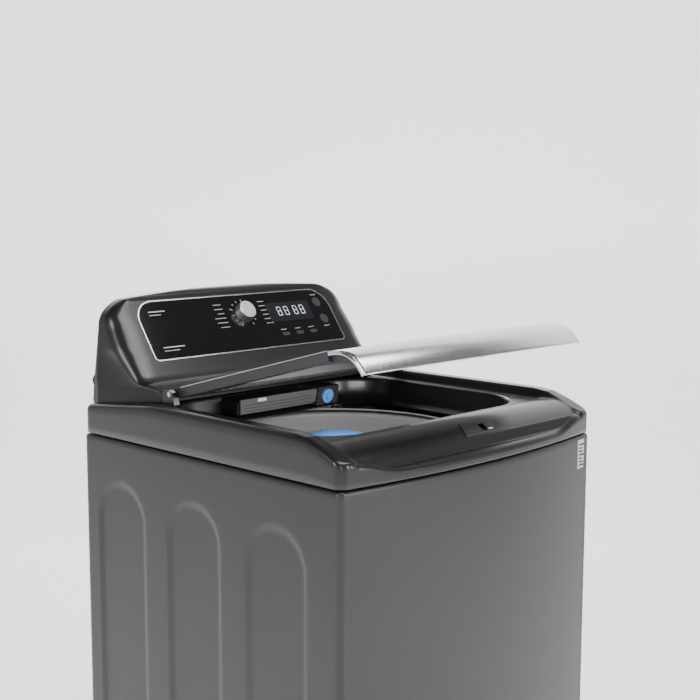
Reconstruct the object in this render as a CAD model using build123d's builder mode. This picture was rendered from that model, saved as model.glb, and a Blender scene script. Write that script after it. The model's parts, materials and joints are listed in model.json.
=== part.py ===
"""Top-loading washing machine: steel cabinet, plastic top with a tilting glass lid, rear console, and a
sprung tub with a perforated basket, an agitator and a direct drive.  Millimetres, +Z up, front at -Y.
The origin is the centre of the outer box, on the floor."""
from build123d import *
from math import asin, cos, degrees, radians, sin, tan
import os

os.makedirs("parts", exist_ok=True)

# ---- driving dimensions -------------------------------------------------------------------------
WIDTH = 686
HEIGHT = 1130
SIDE_DEPTH = 680
FRONT_BOW = 30
REAR_FITTINGS = 11
DEPTH = FRONT_BOW + SIDE_DEPTH + REAR_FITTINGS
CORNER_RADIUS = 12

HALF = WIDTH / 2
FRONT_Y = -DEPTH / 2
CORNER_Y = FRONT_Y + FRONT_BOW
BACK_Y = CORNER_Y + SIDE_DEPTH

FOOT_HEIGHT = 25
GAP_Z = 866
GAP = 2
DECK_Z = 942
LEDGE_Z = 924
CREST_Z = 926
SHEET = 2
WALL = 3
REAR_FLANGE = 25
SHELL_TOP = GAP_Z - GAP

RECESS_HALF = 300
CREST_Y = -250.5
CHANNEL_Y = -339
CHANNEL_Z = 887
SHOULDER_DROP_Y = -252.5
SHOULDER_SLOPE = 0.443
RECESS_BACK_Y = 236
DECK_DIP_Y = 144.5
DECK_BACK_Z = 921

TUB_Y = 14.5
WELL_HALF = 286
WELL_FRONT_Y = -238
WELL_BACK_Y = 222
WELL_RADIUS = 105
WELL_FLOOR_Z = 877

HINGE_Y = 132.5
HINGE_Z = 960
LID_REST = 15
LID_HALF = 297
LID_TOP = 8
LID_BOTTOM = -9
GLASS = 4
LID_BACK = 13
PANEL_REACH = 406
HANDLE_BOW = 22
HANDLE_REACH = 476
HANDLE_DROP = 50
HANDLE_SKIN = 4

CONSOLE_FRONT_Y = 150
CONSOLE_BACK_Y = 341
FACE_ANGLE = 54
FACE_Y = 295.5
FACE_Z = 1085

OUTER_TUB_R = 295
TUB_WALL = 4
TUB_BASE_Z = 185
TUB_TOP_Z = 838
DRUM_R = 266
DRUM_BASE_Z = 228
RING_TOP_Z = 856
RING_INNER_R = 254
ROD_SPAN = 244
ROD_R = 4
SEAT_Z = 205
LUG_Z = 300
SPRING_TOP_Z = 288

SHAFT_R = 9
SPIN_TUBE_R = 16
RUN = 0.05
AGITATOR_TOP_Z = 852
COLUMN_R = 62

LID = Plane(
    origin=(0, HINGE_Y, HINGE_Z),
    x_dir=(1, 0, 0),
    z_dir=(0, sin(radians(LID_REST)), cos(radians(LID_REST))),
)
FACE = Plane(
    origin=(0, FACE_Y, FACE_Z),
    x_dir=(1, 0, 0),
    z_dir=(0, -sin(radians(FACE_ANGLE)), cos(radians(FACE_ANGLE))),
)


# ---- shared outlines ----------------------------------------------------------------------------
def cabinet_plan(z, inset=0.0, back=BACK_Y):
    """Plan of the cabinet at height z: straight sides and back, bowed front, rounded front corners."""
    half = HALF - inset
    side = CORNER_Y + inset
    with BuildSketch(Plane.XY.offset(z)) as plan:
        with BuildLine():
            Polyline((-half, side), (-half, back - inset), (half, back - inset), (half, side))
            ThreePointArc((half, side), (0, FRONT_Y + inset), (-half, side))
        make_face()
        corners = [v for v in plan.vertices() if v.Y < 0]
        fillet(corners, CORNER_RADIUS - inset)
    return plan.sketch


def cover_form(inset):
    """Outside form of the top cover, drawn in by inset: sloped in front, dipped behind, recessed."""
    slope_end = FRONT_Y - 40
    with BuildPart() as form:
        extrude(cabinet_plan(GAP_Z, inset), amount=DECK_Z - GAP_Z - inset)
        with BuildSketch(Plane.YZ):
            with BuildLine():
                Polyline(
                    (slope_end, GAP_Z),
                    (slope_end, DECK_Z - inset - SHOULDER_SLOPE * (SHOULDER_DROP_Y - slope_end)),
                    (SHOULDER_DROP_Y, DECK_Z - inset),
                    (DECK_DIP_Y, DECK_Z - inset),
                    (BACK_Y, DECK_BACK_Z - inset),
                    (BACK_Y, GAP_Z),
                    close=True,
                )
            make_face()
        extrude(amount=HALF, both=True, mode=Mode.INTERSECT)
        with BuildSketch(Plane.YZ):
            with BuildLine():
                Polyline(
                    (slope_end, CHANNEL_Z - inset),
                    (slope_end, HEIGHT),
                    (RECESS_BACK_Y, HEIGHT),
                    (RECESS_BACK_Y, LEDGE_Z - inset),
                    (CREST_Y + 12, LEDGE_Z - inset),
                    (CREST_Y, CREST_Z - inset),
                )
                ThreePointArc(
                    (CREST_Y, CREST_Z - inset),
                    (-303, 919 - inset),
                    (-326, 905 - inset),
                )
                Line((-326, 905 - inset), (CHANNEL_Y, CHANNEL_Z - inset))
                Line((CHANNEL_Y, CHANNEL_Z - inset), (slope_end, CHANNEL_Z - inset))
            make_face()
        extrude(amount=RECESS_HALF + inset, both=True, mode=Mode.SUBTRACT)
    return form.part


def well_plan(z, inset=0.0):
    """Plan of the loading well at height z: a square with wide rounded corners, drawn in by inset."""
    length = WELL_BACK_Y - WELL_FRONT_Y
    with BuildSketch(Plane.XY.offset(z)) as plan:
        with Locations((0, (WELL_BACK_Y + WELL_FRONT_Y) / 2)):
            RectangleRounded(2 * (WELL_HALF - inset), length - 2 * inset, WELL_RADIUS - inset)
    return plan.sketch


def ring(plane, outer, inner, centre=(0, 0)):
    """Flat ring on a plane, as a sketch."""
    with BuildSketch(plane) as flat:
        with Locations(centre):
            Circle(outer)
            Circle(inner, mode=Mode.SUBTRACT)
    return flat.sketch


def upright(turn):
    """Upright plane through the tub's axis, turned about it; local x runs outwards, local y up."""
    angle = radians(turn)
    return Plane(origin=(0, TUB_Y, 0), x_dir=(cos(angle), sin(angle), 0), z_dir=(sin(angle), -cos(angle), 0))


def corner_spots():
    """The four places, round the tub, where the suspension hangs."""
    return [(x, TUB_Y + y) for x in (-ROD_SPAN, ROD_SPAN) for y in (-ROD_SPAN, ROD_SPAN)]


# ---- cabinet and base ---------------------------------------------------------------------------
SHELL_BASE = FOOT_HEIGHT + 8
with BuildPart() as cabinet_shell:
    shell_back = BACK_Y - SHEET
    extrude(cabinet_plan(SHELL_BASE, back=shell_back), amount=SHELL_TOP - SHELL_BASE)
    extrude(cabinet_plan(SHELL_BASE, SHEET, shell_back), amount=SHELL_TOP, mode=Mode.SUBTRACT)
    with BuildSketch(Plane.XY.offset(SHELL_BASE)):
        with Locations((0, shell_back)):
            Rectangle(WIDTH - 2 * REAR_FLANGE, 4 * SHEET)
    extrude(amount=SHELL_TOP, mode=Mode.SUBTRACT)
cabinet_shell.part.label = "cabinet_shell"
export_step(cabinet_shell.part, "parts/cabinet_shell.step")

DRAIN_SPOT = (-262, 800)
GLAND_SPOT = (250, 800)
DRAIN_R = 15
DRAIN_CUP_R = 26
GLAND_R = 11
with BuildPart() as rear_panel:
    with BuildSketch(Plane.XZ.offset(-BACK_Y)):
        with Locations((0, (SHELL_BASE + SHELL_TOP) / 2)):
            RectangleRounded(WIDTH - 16, SHELL_TOP - SHELL_BASE - 4, 6)
        with Locations(DRAIN_SPOT):
            Circle(DRAIN_CUP_R, mode=Mode.SUBTRACT)
        with Locations(GLAND_SPOT):
            Circle(GLAND_R, mode=Mode.SUBTRACT)
    extrude(amount=SHEET)
rear_panel.part.label = "rear_panel"
export_step(rear_panel.part, "parts/rear_panel.step")

FRAME_BAR = 44
FRAME_TOP = FOOT_HEIGHT + 30
with BuildPart() as base_frame:
    with BuildSketch(Plane.XY.offset(FOOT_HEIGHT)):
        with Locations((0, (CORNER_Y + BACK_Y) / 2)):
            Rectangle(WIDTH - 8, SIDE_DEPTH - 12)
            Rectangle(WIDTH - 2 * FRAME_BAR, SIDE_DEPTH - 2 * FRAME_BAR, mode=Mode.SUBTRACT)
    extrude(amount=SHELL_BASE - FOOT_HEIGHT)
    with BuildSketch(Plane.XY.offset(SHELL_BASE)):
        with Locations((0, (CORNER_Y + BACK_Y) / 2)):
            Rectangle(WIDTH - 12, SIDE_DEPTH - 20)
            Rectangle(WIDTH - 2 * FRAME_BAR, SIDE_DEPTH - 2 * FRAME_BAR, mode=Mode.SUBTRACT)
    extrude(amount=FRAME_TOP - SHELL_BASE)
    with BuildSketch(Plane.XY.offset(FOOT_HEIGHT)):
        with GridLocations(WIDTH - 70, SIDE_DEPTH - 80, 2, 2):
            with Locations((0, (CORNER_Y + BACK_Y) / 2)):
                Circle(6.5)
    extrude(amount=FRAME_TOP, mode=Mode.SUBTRACT)
base_frame.part.label = "base_frame"
export_step(base_frame.part, "parts/base_frame.step")

FOOT_SPOTS = [
    (x, (CORNER_Y + BACK_Y) / 2 + y)
    for x in (-(WIDTH - 70) / 2, (WIDTH - 70) / 2)
    for y in (-(SIDE_DEPTH - 80) / 2, (SIDE_DEPTH - 80) / 2)
]
with BuildPart() as levelling_feet:
    with Locations(*[(x, y, 0) for x, y in FOOT_SPOTS]):
        Cylinder(24, 10, align=(Align.CENTER, Align.CENTER, Align.MIN))
    with Locations(*[(x, y, 10) for x, y in FOOT_SPOTS]):
        Cylinder(6, 52, align=(Align.CENTER, Align.CENTER, Align.MIN))
    chamfer(levelling_feet.edges().group_by(Axis.Z)[0], 1.5)
    with BuildSketch(Plane.XY.offset(FOOT_HEIGHT - 8.5)):
        with Locations(*FOOT_SPOTS):
            RegularPolygon(11, 6)
    extrude(amount=8)
levelling_feet.part.label = "levelling_feet"
export_step(levelling_feet.part, "parts/levelling_feet.step")

# ---- suspension ---------------------------------------------------------------------------------
BRACE_Z = 842
with BuildPart() as corner_braces:
    for sx in (-1, 1):
        for y_corner, y_rod in ((CORNER_Y + 8, TUB_Y - ROD_SPAN), (BACK_Y - 8, TUB_Y + ROD_SPAN)):
            with BuildSketch(Plane.XY.offset(BRACE_Z)):
                with BuildLine():
                    Polyline(
                        (sx * (HALF - SHEET - 0.5), y_corner),
                        (sx * (HALF - SHEET - 0.5), y_rod - 34 if y_rod > 0 else y_rod + 34),
                        (sx * (ROD_SPAN - 16), y_rod - 16 if y_rod > 0 else y_rod + 16),
                        (sx * (ROD_SPAN - 34), y_corner),
                        close=True,
                    )
                make_face()
            extrude(amount=5)
    with BuildSketch(Plane.XY.offset(BRACE_Z - 1)):
        with Locations(*corner_spots()):
            Circle(ROD_R + 0.5)
    extrude(amount=8, mode=Mode.SUBTRACT)
corner_braces.part.label = "corner_braces"
export_step(corner_braces.part, "parts/corner_braces.step")

with BuildPart() as suspension_rods:
    with BuildSketch(Plane.XY.offset(SEAT_Z - 6)):
        with Locations(*corner_spots()):
            Circle(19)
    extrude(amount=6)
    with BuildSketch(Plane.XY.offset(SEAT_Z)):
        with Locations(*corner_spots()):
            Circle(ROD_R)
    extrude(amount=BRACE_Z + 5.3 - SEAT_Z)
    with BuildSketch(Plane.XY.offset(BRACE_Z + 5.3)):
        with Locations(*corner_spots()):
            Circle(12)
    extrude(amount=9, taper=25)
suspension_rods.part.label = "suspension_rods"
export_step(suspension_rods.part, "parts/suspension_rods.step")

SPRING_R = 13
SPRING_WIRE = 1.6
with BuildPart() as suspension_springs:
    spring_height = SPRING_TOP_Z - SEAT_Z - 2 * SPRING_WIRE - 0.6
    for x, y in corner_spots():
        start = Vector(x, y, SEAT_Z + SPRING_WIRE + 0.3)
        with BuildLine() as coil:
            Helix(pitch=spring_height / 7, height=spring_height, radius=SPRING_R, center=start)
        with BuildSketch(Plane(origin=coil.line @ 0, z_dir=coil.line % 0)):
            Circle(SPRING_WIRE)
        sweep(path=coil.line, is_frenet=True)
suspension_springs.part.label = "suspension_springs"
export_step(suspension_springs.part, "parts/suspension_springs.step")

# ---- tub ----------------------------------------------------------------------------------------
AXIS = Axis((0, TUB_Y, 0), (0, 0, 1))
SUMP_SPOT = (-150, TUB_Y - 120)
with BuildPart() as outer_tub:
    with BuildSketch(Plane.XZ.offset(-TUB_Y)):
        with BuildLine():
            Polyline(
                (60, TUB_BASE_Z),
                (OUTER_TUB_R - 25, TUB_BASE_Z),
                (OUTER_TUB_R, TUB_BASE_Z + 25),
                (OUTER_TUB_R, TUB_TOP_Z - 4),
                (OUTER_TUB_R + 8, TUB_TOP_Z - 4),
                (OUTER_TUB_R + 8, TUB_TOP_Z),
                (OUTER_TUB_R - TUB_WALL, TUB_TOP_Z),
                (OUTER_TUB_R - TUB_WALL, TUB_BASE_Z + 27),
                (OUTER_TUB_R - 27, TUB_BASE_Z + TUB_WALL + 1),
                (60, TUB_BASE_Z + TUB_WALL + 1),
                close=True,
            )
        make_face()
    revolve(axis=AXIS)
    for sx in (-1, 1):
        for sy in (-1, 1):
            with BuildSketch(Plane.XY.offset(LUG_Z)):
                with BuildLine():
                    Polyline(
                        (sx * (ROD_SPAN + 16), TUB_Y + sy * (ROD_SPAN - 10)),
                        (sx * (ROD_SPAN - 10), TUB_Y + sy * (ROD_SPAN + 16)),
                        (sx * 170, TUB_Y + sy * 238),
                        (sx * 238, TUB_Y + sy * 170),
                        close=True,
                    )
                make_face()
            extrude(amount=12)
    with BuildSketch(Plane.XY.offset(LUG_Z - 1)):
        with Locations((0, TUB_Y)):
            Circle(OUTER_TUB_R - TUB_WALL)
        with Locations(*corner_spots()):
            Circle(ROD_R + 2)
    extrude(amount=20, mode=Mode.SUBTRACT)
    with BuildSketch(Plane.XY.offset(TUB_BASE_Z - 1)):
        with Locations(SUMP_SPOT):
            Circle(16)
    extrude(amount=10, mode=Mode.SUBTRACT)
outer_tub.part.label = "outer_tub"
export_step(outer_tub.part, "parts/outer_tub.step")

with BuildPart() as spring_cups:
    with BuildSketch(Plane.XY.offset(SPRING_TOP_Z)):
        with Locations(*corner_spots()):
            Circle(17)
            Circle(ROD_R + 0.5, mode=Mode.SUBTRACT)
    extrude(amount=LUG_Z - SPRING_TOP_Z)
spring_cups.part.label = "spring_cups"
export_step(spring_cups.part, "parts/spring_cups.step")

with BuildPart() as tub_cover_ring:
    with BuildSketch(Plane.XZ.offset(-TUB_Y)):
        with BuildLine():
            Polyline(
                (RING_INNER_R + 6, TUB_TOP_Z + 24),
                (OUTER_TUB_R - 6, TUB_TOP_Z + 16),
                (OUTER_TUB_R + 8, TUB_TOP_Z),
                (OUTER_TUB_R + 8, TUB_TOP_Z + 3),
                (OUTER_TUB_R - 4, TUB_TOP_Z + 19),
                (RING_INNER_R + 6, TUB_TOP_Z + 27),
                close=True,
            )
        make_face()
    revolve(axis=AXIS)
tub_cover_ring.part.label = "tub_cover_ring"
export_step(tub_cover_ring.part, "parts/tub_cover_ring.step")

HOUSING_BASE = 128
with BuildPart() as bearing_housing:
    with BuildSketch(Plane.XZ.offset(-TUB_Y)):
        with BuildLine():
            Polyline(
                (SPIN_TUBE_R + 14, HOUSING_BASE),
                (50, HOUSING_BASE),
                (58, HOUSING_BASE + 30),
                (140, TUB_BASE_Z - 12),
                (140, TUB_BASE_Z),
                (59, TUB_BASE_Z),
                (59, TUB_BASE_Z + 10),
                (SPIN_TUBE_R + 14, TUB_BASE_Z + 10),
                close=True,
            )
        make_face()
    revolve(axis=AXIS)
    for turn in range(6):
        with BuildSketch(upright(60 * turn)):
            with BuildLine():
                Polyline(
                    (55, HOUSING_BASE + 20),
                    (70, HOUSING_BASE + 20),
                    (135, TUB_BASE_Z - 11),
                    (55, TUB_BASE_Z - 11),
                    close=True,
                )
            make_face()
        extrude(amount=3, both=True)
bearing_housing.part.label = "bearing_housing"
export_step(bearing_housing.part, "parts/bearing_housing.step")

BEARING_R = SPIN_TUBE_R + 14
with BuildPart() as bearings:
    for level in (HOUSING_BASE + 2, TUB_BASE_Z - 16):
        extrude(ring(Plane.XY.offset(level), BEARING_R, SPIN_TUBE_R + RUN, (0, TUB_Y)), amount=14)
bearings.part.label = "bearings"
export_step(bearings.part, "parts/bearings.step")

with BuildPart() as tub_seal:
    seal_z = TUB_BASE_Z
    extrude(ring(Plane.XY.offset(seal_z), BEARING_R, SPIN_TUBE_R + RUN, (0, TUB_Y)), amount=9)
tub_seal.part.label = "tub_seal"
export_step(tub_seal.part, "parts/tub_seal.step")

STATOR_R = 112
STATOR_Z = 100
with BuildPart() as stator:
    extrude(ring(Plane.XY.offset(STATOR_Z), 78, 26, (0, TUB_Y)), amount=26)
    with BuildSketch(Plane.XY.offset(STATOR_Z)):
        with Locations((0, TUB_Y)):
            with PolarLocations(94, 18):
                Rectangle(STATOR_R - 76, 11)
    extrude(amount=26)
    extrude(ring(Plane.XY.offset(STATOR_Z + 26), 44, 26, (0, TUB_Y)), amount=2)
stator.part.label = "stator"
export_step(stator.part, "parts/stator.step")

PUMP_SPOT = (-150, TUB_Y - 150)
PUMP_Z = 112
with BuildPart() as drain_pump:
    extrude(ring(Plane.XY.offset(PUMP_Z), 36, 31, PUMP_SPOT), amount=40)
    extrude(ring(Plane.XY.offset(PUMP_Z + 40), 36, 14, PUMP_SPOT), amount=4)
    with BuildSketch(Plane.XY.offset(PUMP_Z - 4)):
        with Locations(PUMP_SPOT):
            Circle(36)
    extrude(amount=4)
    with BuildSketch(Plane.XY.offset(PUMP_Z - 34)):
        with Locations(PUMP_SPOT):
            Circle(24)
    extrude(amount=30)
    with BuildSketch(Plane.XY.offset(PUMP_Z + 44)):
        with Locations(PUMP_SPOT):
            Circle(20)
            Circle(14, mode=Mode.SUBTRACT)
    extrude(amount=TUB_BASE_Z - PUMP_Z - 44)
drain_pump.part.label = "drain_pump"
export_step(drain_pump.part, "parts/drain_pump.step")

with BuildPart() as pump_impeller:
    with BuildSketch(Plane.XY.offset(PUMP_Z + 1)):
        with Locations(PUMP_SPOT):
            Circle(27)
    extrude(amount=3)
    with BuildSketch(Plane.XY.offset(PUMP_Z + 4)):
        with Locations(PUMP_SPOT):
            Circle(8)
            with PolarLocations(15, 6):
                Rectangle(20, 3)
    extrude(amount=22)
pump_impeller.part.label = "pump_impeller"
export_step(pump_impeller.part, "parts/pump_impeller.step")

# ---- basket, agitator and drive -----------------------------------------------------------------
with BuildPart() as drum:
    with BuildSketch(Plane.XZ.offset(-TUB_Y)):
        with BuildLine():
            Polyline(
                (70, DRUM_BASE_Z),
                (DRUM_R - 20, DRUM_BASE_Z),
                (DRUM_R, DRUM_BASE_Z + 20),
                (DRUM_R, RING_TOP_Z - 44),
                (DRUM_R - 1.5, RING_TOP_Z - 44),
                (DRUM_R - 1.5, DRUM_BASE_Z + 20.6),
                (DRUM_R - 20.6, DRUM_BASE_Z + 1.5),
                (70, DRUM_BASE_Z + 1.5),
                close=True,
            )
        make_face()
    revolve(axis=AXIS)
drum.part.label = "drum"
export_step(drum.part, "parts/drum.step")

with BuildPart() as balance_ring:
    extrude(ring(Plane.XY.offset(RING_TOP_Z - 44), DRUM_R + 6, RING_INNER_R, (0, TUB_Y)), amount=44)
    fillet(balance_ring.edges().group_by(Axis.Z)[-1], 4)
balance_ring.part.label = "balance_ring"
export_step(balance_ring.part, "parts/balance_ring.step")

HUB_TOP = DRUM_BASE_Z
with BuildPart() as drum_hub:
    extrude(ring(Plane.XY.offset(HUB_TOP - 12), 66, SPIN_TUBE_R, (0, TUB_Y)), amount=12)
    with BuildSketch(Plane.XY.offset(HUB_TOP - 10)):
        with Locations((0, TUB_Y)):
            with PolarLocations(150, 3):
                Rectangle(190, 46)
            Circle(60, mode=Mode.SUBTRACT)
    extrude(amount=9.5)
    extrude(ring(Plane.XY.offset(HUB_TOP - 0.5), 74, SPIN_TUBE_R, (0, TUB_Y)), amount=0.5)
drum_hub.part.label = "drum_hub"
export_step(drum_hub.part, "parts/drum_hub.step")

TUBE_BASE = 96
with BuildPart() as spin_tube:
    spin_top = HUB_TOP - TUBE_BASE
    extrude(
        ring(Plane.XY.offset(TUBE_BASE), SPIN_TUBE_R, SHAFT_R + RUN, (0, TUB_Y)),
        amount=spin_top,
    )
spin_tube.part.label = "spin_tube"
export_step(spin_tube.part, "parts/spin_tube.step")

ROTOR_Z = 76
ROTOR_R = 122
with BuildPart() as drive_shaft:
    with BuildSketch(Plane.XY.offset(ROTOR_Z - 6)):
        with Locations((0, TUB_Y)):
            Circle(SHAFT_R)
    extrude(amount=300 - ROTOR_Z + 6)
drive_shaft.part.label = "drive_shaft"
export_step(drive_shaft.part, "parts/drive_shaft.step")

with BuildPart() as rotor:
    extrude(ring(Plane.XY.offset(ROTOR_Z), ROTOR_R, SHAFT_R, (0, TUB_Y)), amount=5)
    extrude(ring(Plane.XY.offset(ROTOR_Z + 5), ROTOR_R, STATOR_R + 2, (0, TUB_Y)), amount=44)
    extrude(ring(Plane.XY.offset(ROTOR_Z + 5), 30, SHAFT_R, (0, TUB_Y)), amount=5)
rotor.part.label = "rotor"
export_step(rotor.part, "parts/rotor.step")

CLUTCH_Z = 88
with BuildPart() as clutch_slider:
    extrude(ring(Plane.XY.offset(CLUTCH_Z + 9), 23, SPIN_TUBE_R + RUN, (0, TUB_Y)), amount=24)
clutch_slider.part.label = "clutch_slider"
export_step(clutch_slider.part, "parts/clutch_slider.step")

AGITATOR_BASE = DRUM_BASE_Z + 4
with BuildPart() as agitator:
    with BuildSketch(Plane.XZ.offset(-TUB_Y)):
        with BuildLine():
            Polyline(
                (SHAFT_R, AGITATOR_BASE),
                (170, AGITATOR_BASE),
                (170, AGITATOR_BASE + 8),
                (100, AGITATOR_BASE + 40),
                (COLUMN_R + 8, AGITATOR_BASE + 130),
                (COLUMN_R - 8, AGITATOR_TOP_Z),
                (COLUMN_R - 12, AGITATOR_TOP_Z),
                (COLUMN_R + 4, AGITATOR_BASE + 130),
                (COLUMN_R, 310),
                (SHAFT_R, 310),
                close=True,
            )
        make_face()
    revolve(axis=AXIS)
    for turn in range(4):
        with BuildSketch(upright(90 * turn)):
            with BuildLine():
                Polyline(
                    (COLUMN_R - 2, AGITATOR_BASE + 4),
                    (165, AGITATOR_BASE + 4),
                    (158, AGITATOR_BASE + 60),
                    (100, AGITATOR_BASE + 110),
                    (82, AGITATOR_BASE + 320),
                    (COLUMN_R - 4, AGITATOR_BASE + 340),
                    close=True,
                )
            make_face()
        extrude(amount=4, both=True)
    with BuildSketch(Plane.XY.offset(300)):
        with Locations((0, TUB_Y)):
            Circle(COLUMN_R - 12)
    extrude(amount=400, mode=Mode.SUBTRACT)
    with BuildSketch(Plane.XY.offset(AGITATOR_BASE - 1)):
        with Locations((0, TUB_Y)):
            Circle(SHAFT_R)
    extrude(amount=90, mode=Mode.SUBTRACT)
agitator.part.label = "agitator"
export_step(agitator.part, "parts/agitator.step")

CAP_R = COLUMN_R - 2
CAP_EDGE = 6
CAP_HEIGHT = 14
CAP_DOME_R = (CAP_R**2 + (CAP_HEIGHT - CAP_EDGE) ** 2) / (2 * (CAP_HEIGHT - CAP_EDGE))
with BuildPart() as agitator_cap:
    cap_turn = degrees(asin(CAP_R / CAP_DOME_R))
    with BuildSketch(Plane.XZ.offset(-TUB_Y)):
        with BuildLine():
            Polyline(
                (0, AGITATOR_TOP_Z),
                (CAP_R - 2, AGITATOR_TOP_Z),
                (CAP_R, AGITATOR_TOP_Z + CAP_EDGE),
            )
            CenterArc((0, AGITATOR_TOP_Z + CAP_HEIGHT - CAP_DOME_R), CAP_DOME_R, 90 - cap_turn, cap_turn)
            Line((0, AGITATOR_TOP_Z + CAP_HEIGHT), (0, AGITATOR_TOP_Z))
        make_face()
    revolve(axis=AXIS)
agitator_cap.part.label = "agitator_cap"
export_step(agitator_cap.part, "parts/agitator_cap.step")

# ---- drain and inlet ----------------------------------------------------------------------------
CUP_DEPTH = 24
with BuildPart() as drain_spigot:
    cup_front = BACK_Y - SHEET - CUP_DEPTH
    with BuildSketch(Plane.XZ.offset(-(cup_front - 3))):
        with Locations(DRAIN_SPOT):
            Circle(DRAIN_CUP_R + 4)
    extrude(amount=-3)
    with BuildSketch(Plane.XZ.offset(-cup_front)):
        with Locations(DRAIN_SPOT):
            Circle(DRAIN_CUP_R + 4)
            Circle(DRAIN_CUP_R, mode=Mode.SUBTRACT)
    extrude(amount=-CUP_DEPTH)
    with BuildSketch(Plane.XZ.offset(-cup_front)):
        with Locations(DRAIN_SPOT):
            Circle(DRAIN_R)
    extrude(amount=-(DEPTH / 2 - cup_front))
    with BuildSketch(Plane.XZ.offset(-(cup_front - 25))):
        with Locations(DRAIN_SPOT):
            Circle(DRAIN_R - 2)
    extrude(amount=-22)
    with BuildSketch(Plane.XZ.offset(-(cup_front - 25))):
        with Locations(DRAIN_SPOT):
            Circle(DRAIN_R - 4)
    extrude(amount=-100, mode=Mode.SUBTRACT)
drain_spigot.part.label = "drain_spigot"
export_step(drain_spigot.part, "parts/drain_spigot.step")

GLAND_BORE = 4.2
with BuildPart() as cord_gland:
    with BuildSketch(Plane.XZ.offset(-(BACK_Y - SHEET - 5))):
        with Locations(GLAND_SPOT):
            Circle(GLAND_R - 0.3)
    extrude(amount=-(SHEET + 5 + 6))
    with BuildSketch(Plane.XZ.offset(-BACK_Y)):
        with Locations(GLAND_SPOT):
            Circle(15)
    extrude(amount=-4)
    with BuildSketch(Plane.XZ.offset(-(BACK_Y - 20))):
        with Locations(GLAND_SPOT):
            Circle(GLAND_BORE)
    extrude(amount=-60, mode=Mode.SUBTRACT)
cord_gland.part.label = "cord_gland"
export_step(cord_gland.part, "parts/cord_gland.step")

INLET_SPOTS = ((-304, 962), (-254, 962))
INLET_R = 13.2
with BuildPart() as inlet_valve:
    with BuildSketch(Plane.XZ.offset(-(CONSOLE_BACK_Y - 58))):
        with Locations((-279, 962)):
            RectangleRounded(76, 34, 8)
    extrude(amount=-46)
    with BuildSketch(Plane.XY.offset(979)):
        with Locations((-296, 306), (-262, 306)):
            RectangleRounded(24, 24, 4)
    extrude(amount=26)
inlet_valve.part.label = "inlet_valve"
export_step(inlet_valve.part, "parts/inlet_valve.step")

with BuildPart() as inlet_connectors:
    cover_back = CONSOLE_BACK_Y + 3.4
    for radius, start, end in (
        (INLET_R - 1.2, CONSOLE_BACK_Y - 12, cover_back),
        (INLET_R, cover_back, DEPTH / 2),
    ):
        with BuildSketch(Plane.XZ.offset(-start)):
            with Locations(*INLET_SPOTS):
                Circle(radius)
                Circle(9, mode=Mode.SUBTRACT)
        extrude(amount=start - end)
inlet_connectors.part.label = "inlet_connectors"
export_step(inlet_connectors.part, "parts/inlet_connectors.step")

# ---- top cover ----------------------------------------------------------------------------------
DRAWER_LEFT = -110
DRAWER_RIGHT = 98
DRAWER_BASE_Z = 895
DRAWER_TOP_Z = 913
DRAWER_FRONT_Y = 165
DRAWER_BACK_Y = 325
DRAWER_MID = (DRAWER_LEFT + DRAWER_RIGHT) / 2
DRAWER_WIDTH = DRAWER_RIGHT - DRAWER_LEFT
CASE_GAP = 0.8
CASE_WALL = 2.5
SLOT_X = 32
SLOT_Y = -313
BOLT_X = SLOT_X + 25
BOLT_Y = -314

with BuildPart() as top_cover:
    add(cover_form(0))
    add(cover_form(WALL), mode=Mode.SUBTRACT)
    extrude(well_plan(GAP_Z), amount=DECK_Z - GAP_Z, mode=Mode.SUBTRACT)
    extrude(well_plan(WELL_FLOOR_Z), amount=LEDGE_Z - WELL_FLOOR_Z)
    extrude(well_plan(WELL_FLOOR_Z, WALL), amount=LEDGE_Z, mode=Mode.SUBTRACT)
    with BuildSketch(Plane.XZ.offset(-(WELL_BACK_Y - 20))):
        with Locations((DRAWER_MID, (DRAWER_BASE_Z + DRAWER_TOP_Z) / 2)):
            Rectangle(DRAWER_WIDTH + 10, DRAWER_TOP_Z - DRAWER_BASE_Z + 12)
    extrude(amount=-30, mode=Mode.SUBTRACT)
    with BuildSketch(Plane.XY.offset(CHANNEL_Z + 1)):
        with Locations((SLOT_X, SLOT_Y)):
            Rectangle(16, 16)
    extrude(amount=60, mode=Mode.SUBTRACT)
top_cover.part.label = "top_cover"
export_step(top_cover.part, "parts/top_cover.step")

with BuildPart() as lock_plate:
    for lift, mode in ((1.7, Mode.ADD), (0.1, Mode.SUBTRACT)):
        with BuildSketch(Plane.YZ):
            with BuildLine():
                Polyline((-326, 905 + lift), (-326, 880), (CREST_Y, 880), (CREST_Y, CREST_Z + lift))
                ThreePointArc((CREST_Y, CREST_Z + lift), (-303, 919 + lift), (-326, 905 + lift))
            make_face()
        extrude(amount=70, both=True, mode=mode)
    with BuildSketch(Plane.XY.offset(880)):
        with BuildLine():
            Polyline((-14, -296), (68, -296), (60, -318), (46, -325), (-26, -325), close=True)
        make_face()
        with Locations((SLOT_X, SLOT_Y)):
            Rectangle(16, 16, mode=Mode.SUBTRACT)
    extrude(amount=60, mode=Mode.INTERSECT)
lock_plate.part.label = "lock_plate"
export_step(lock_plate.part, "parts/lock_plate.step")

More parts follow.
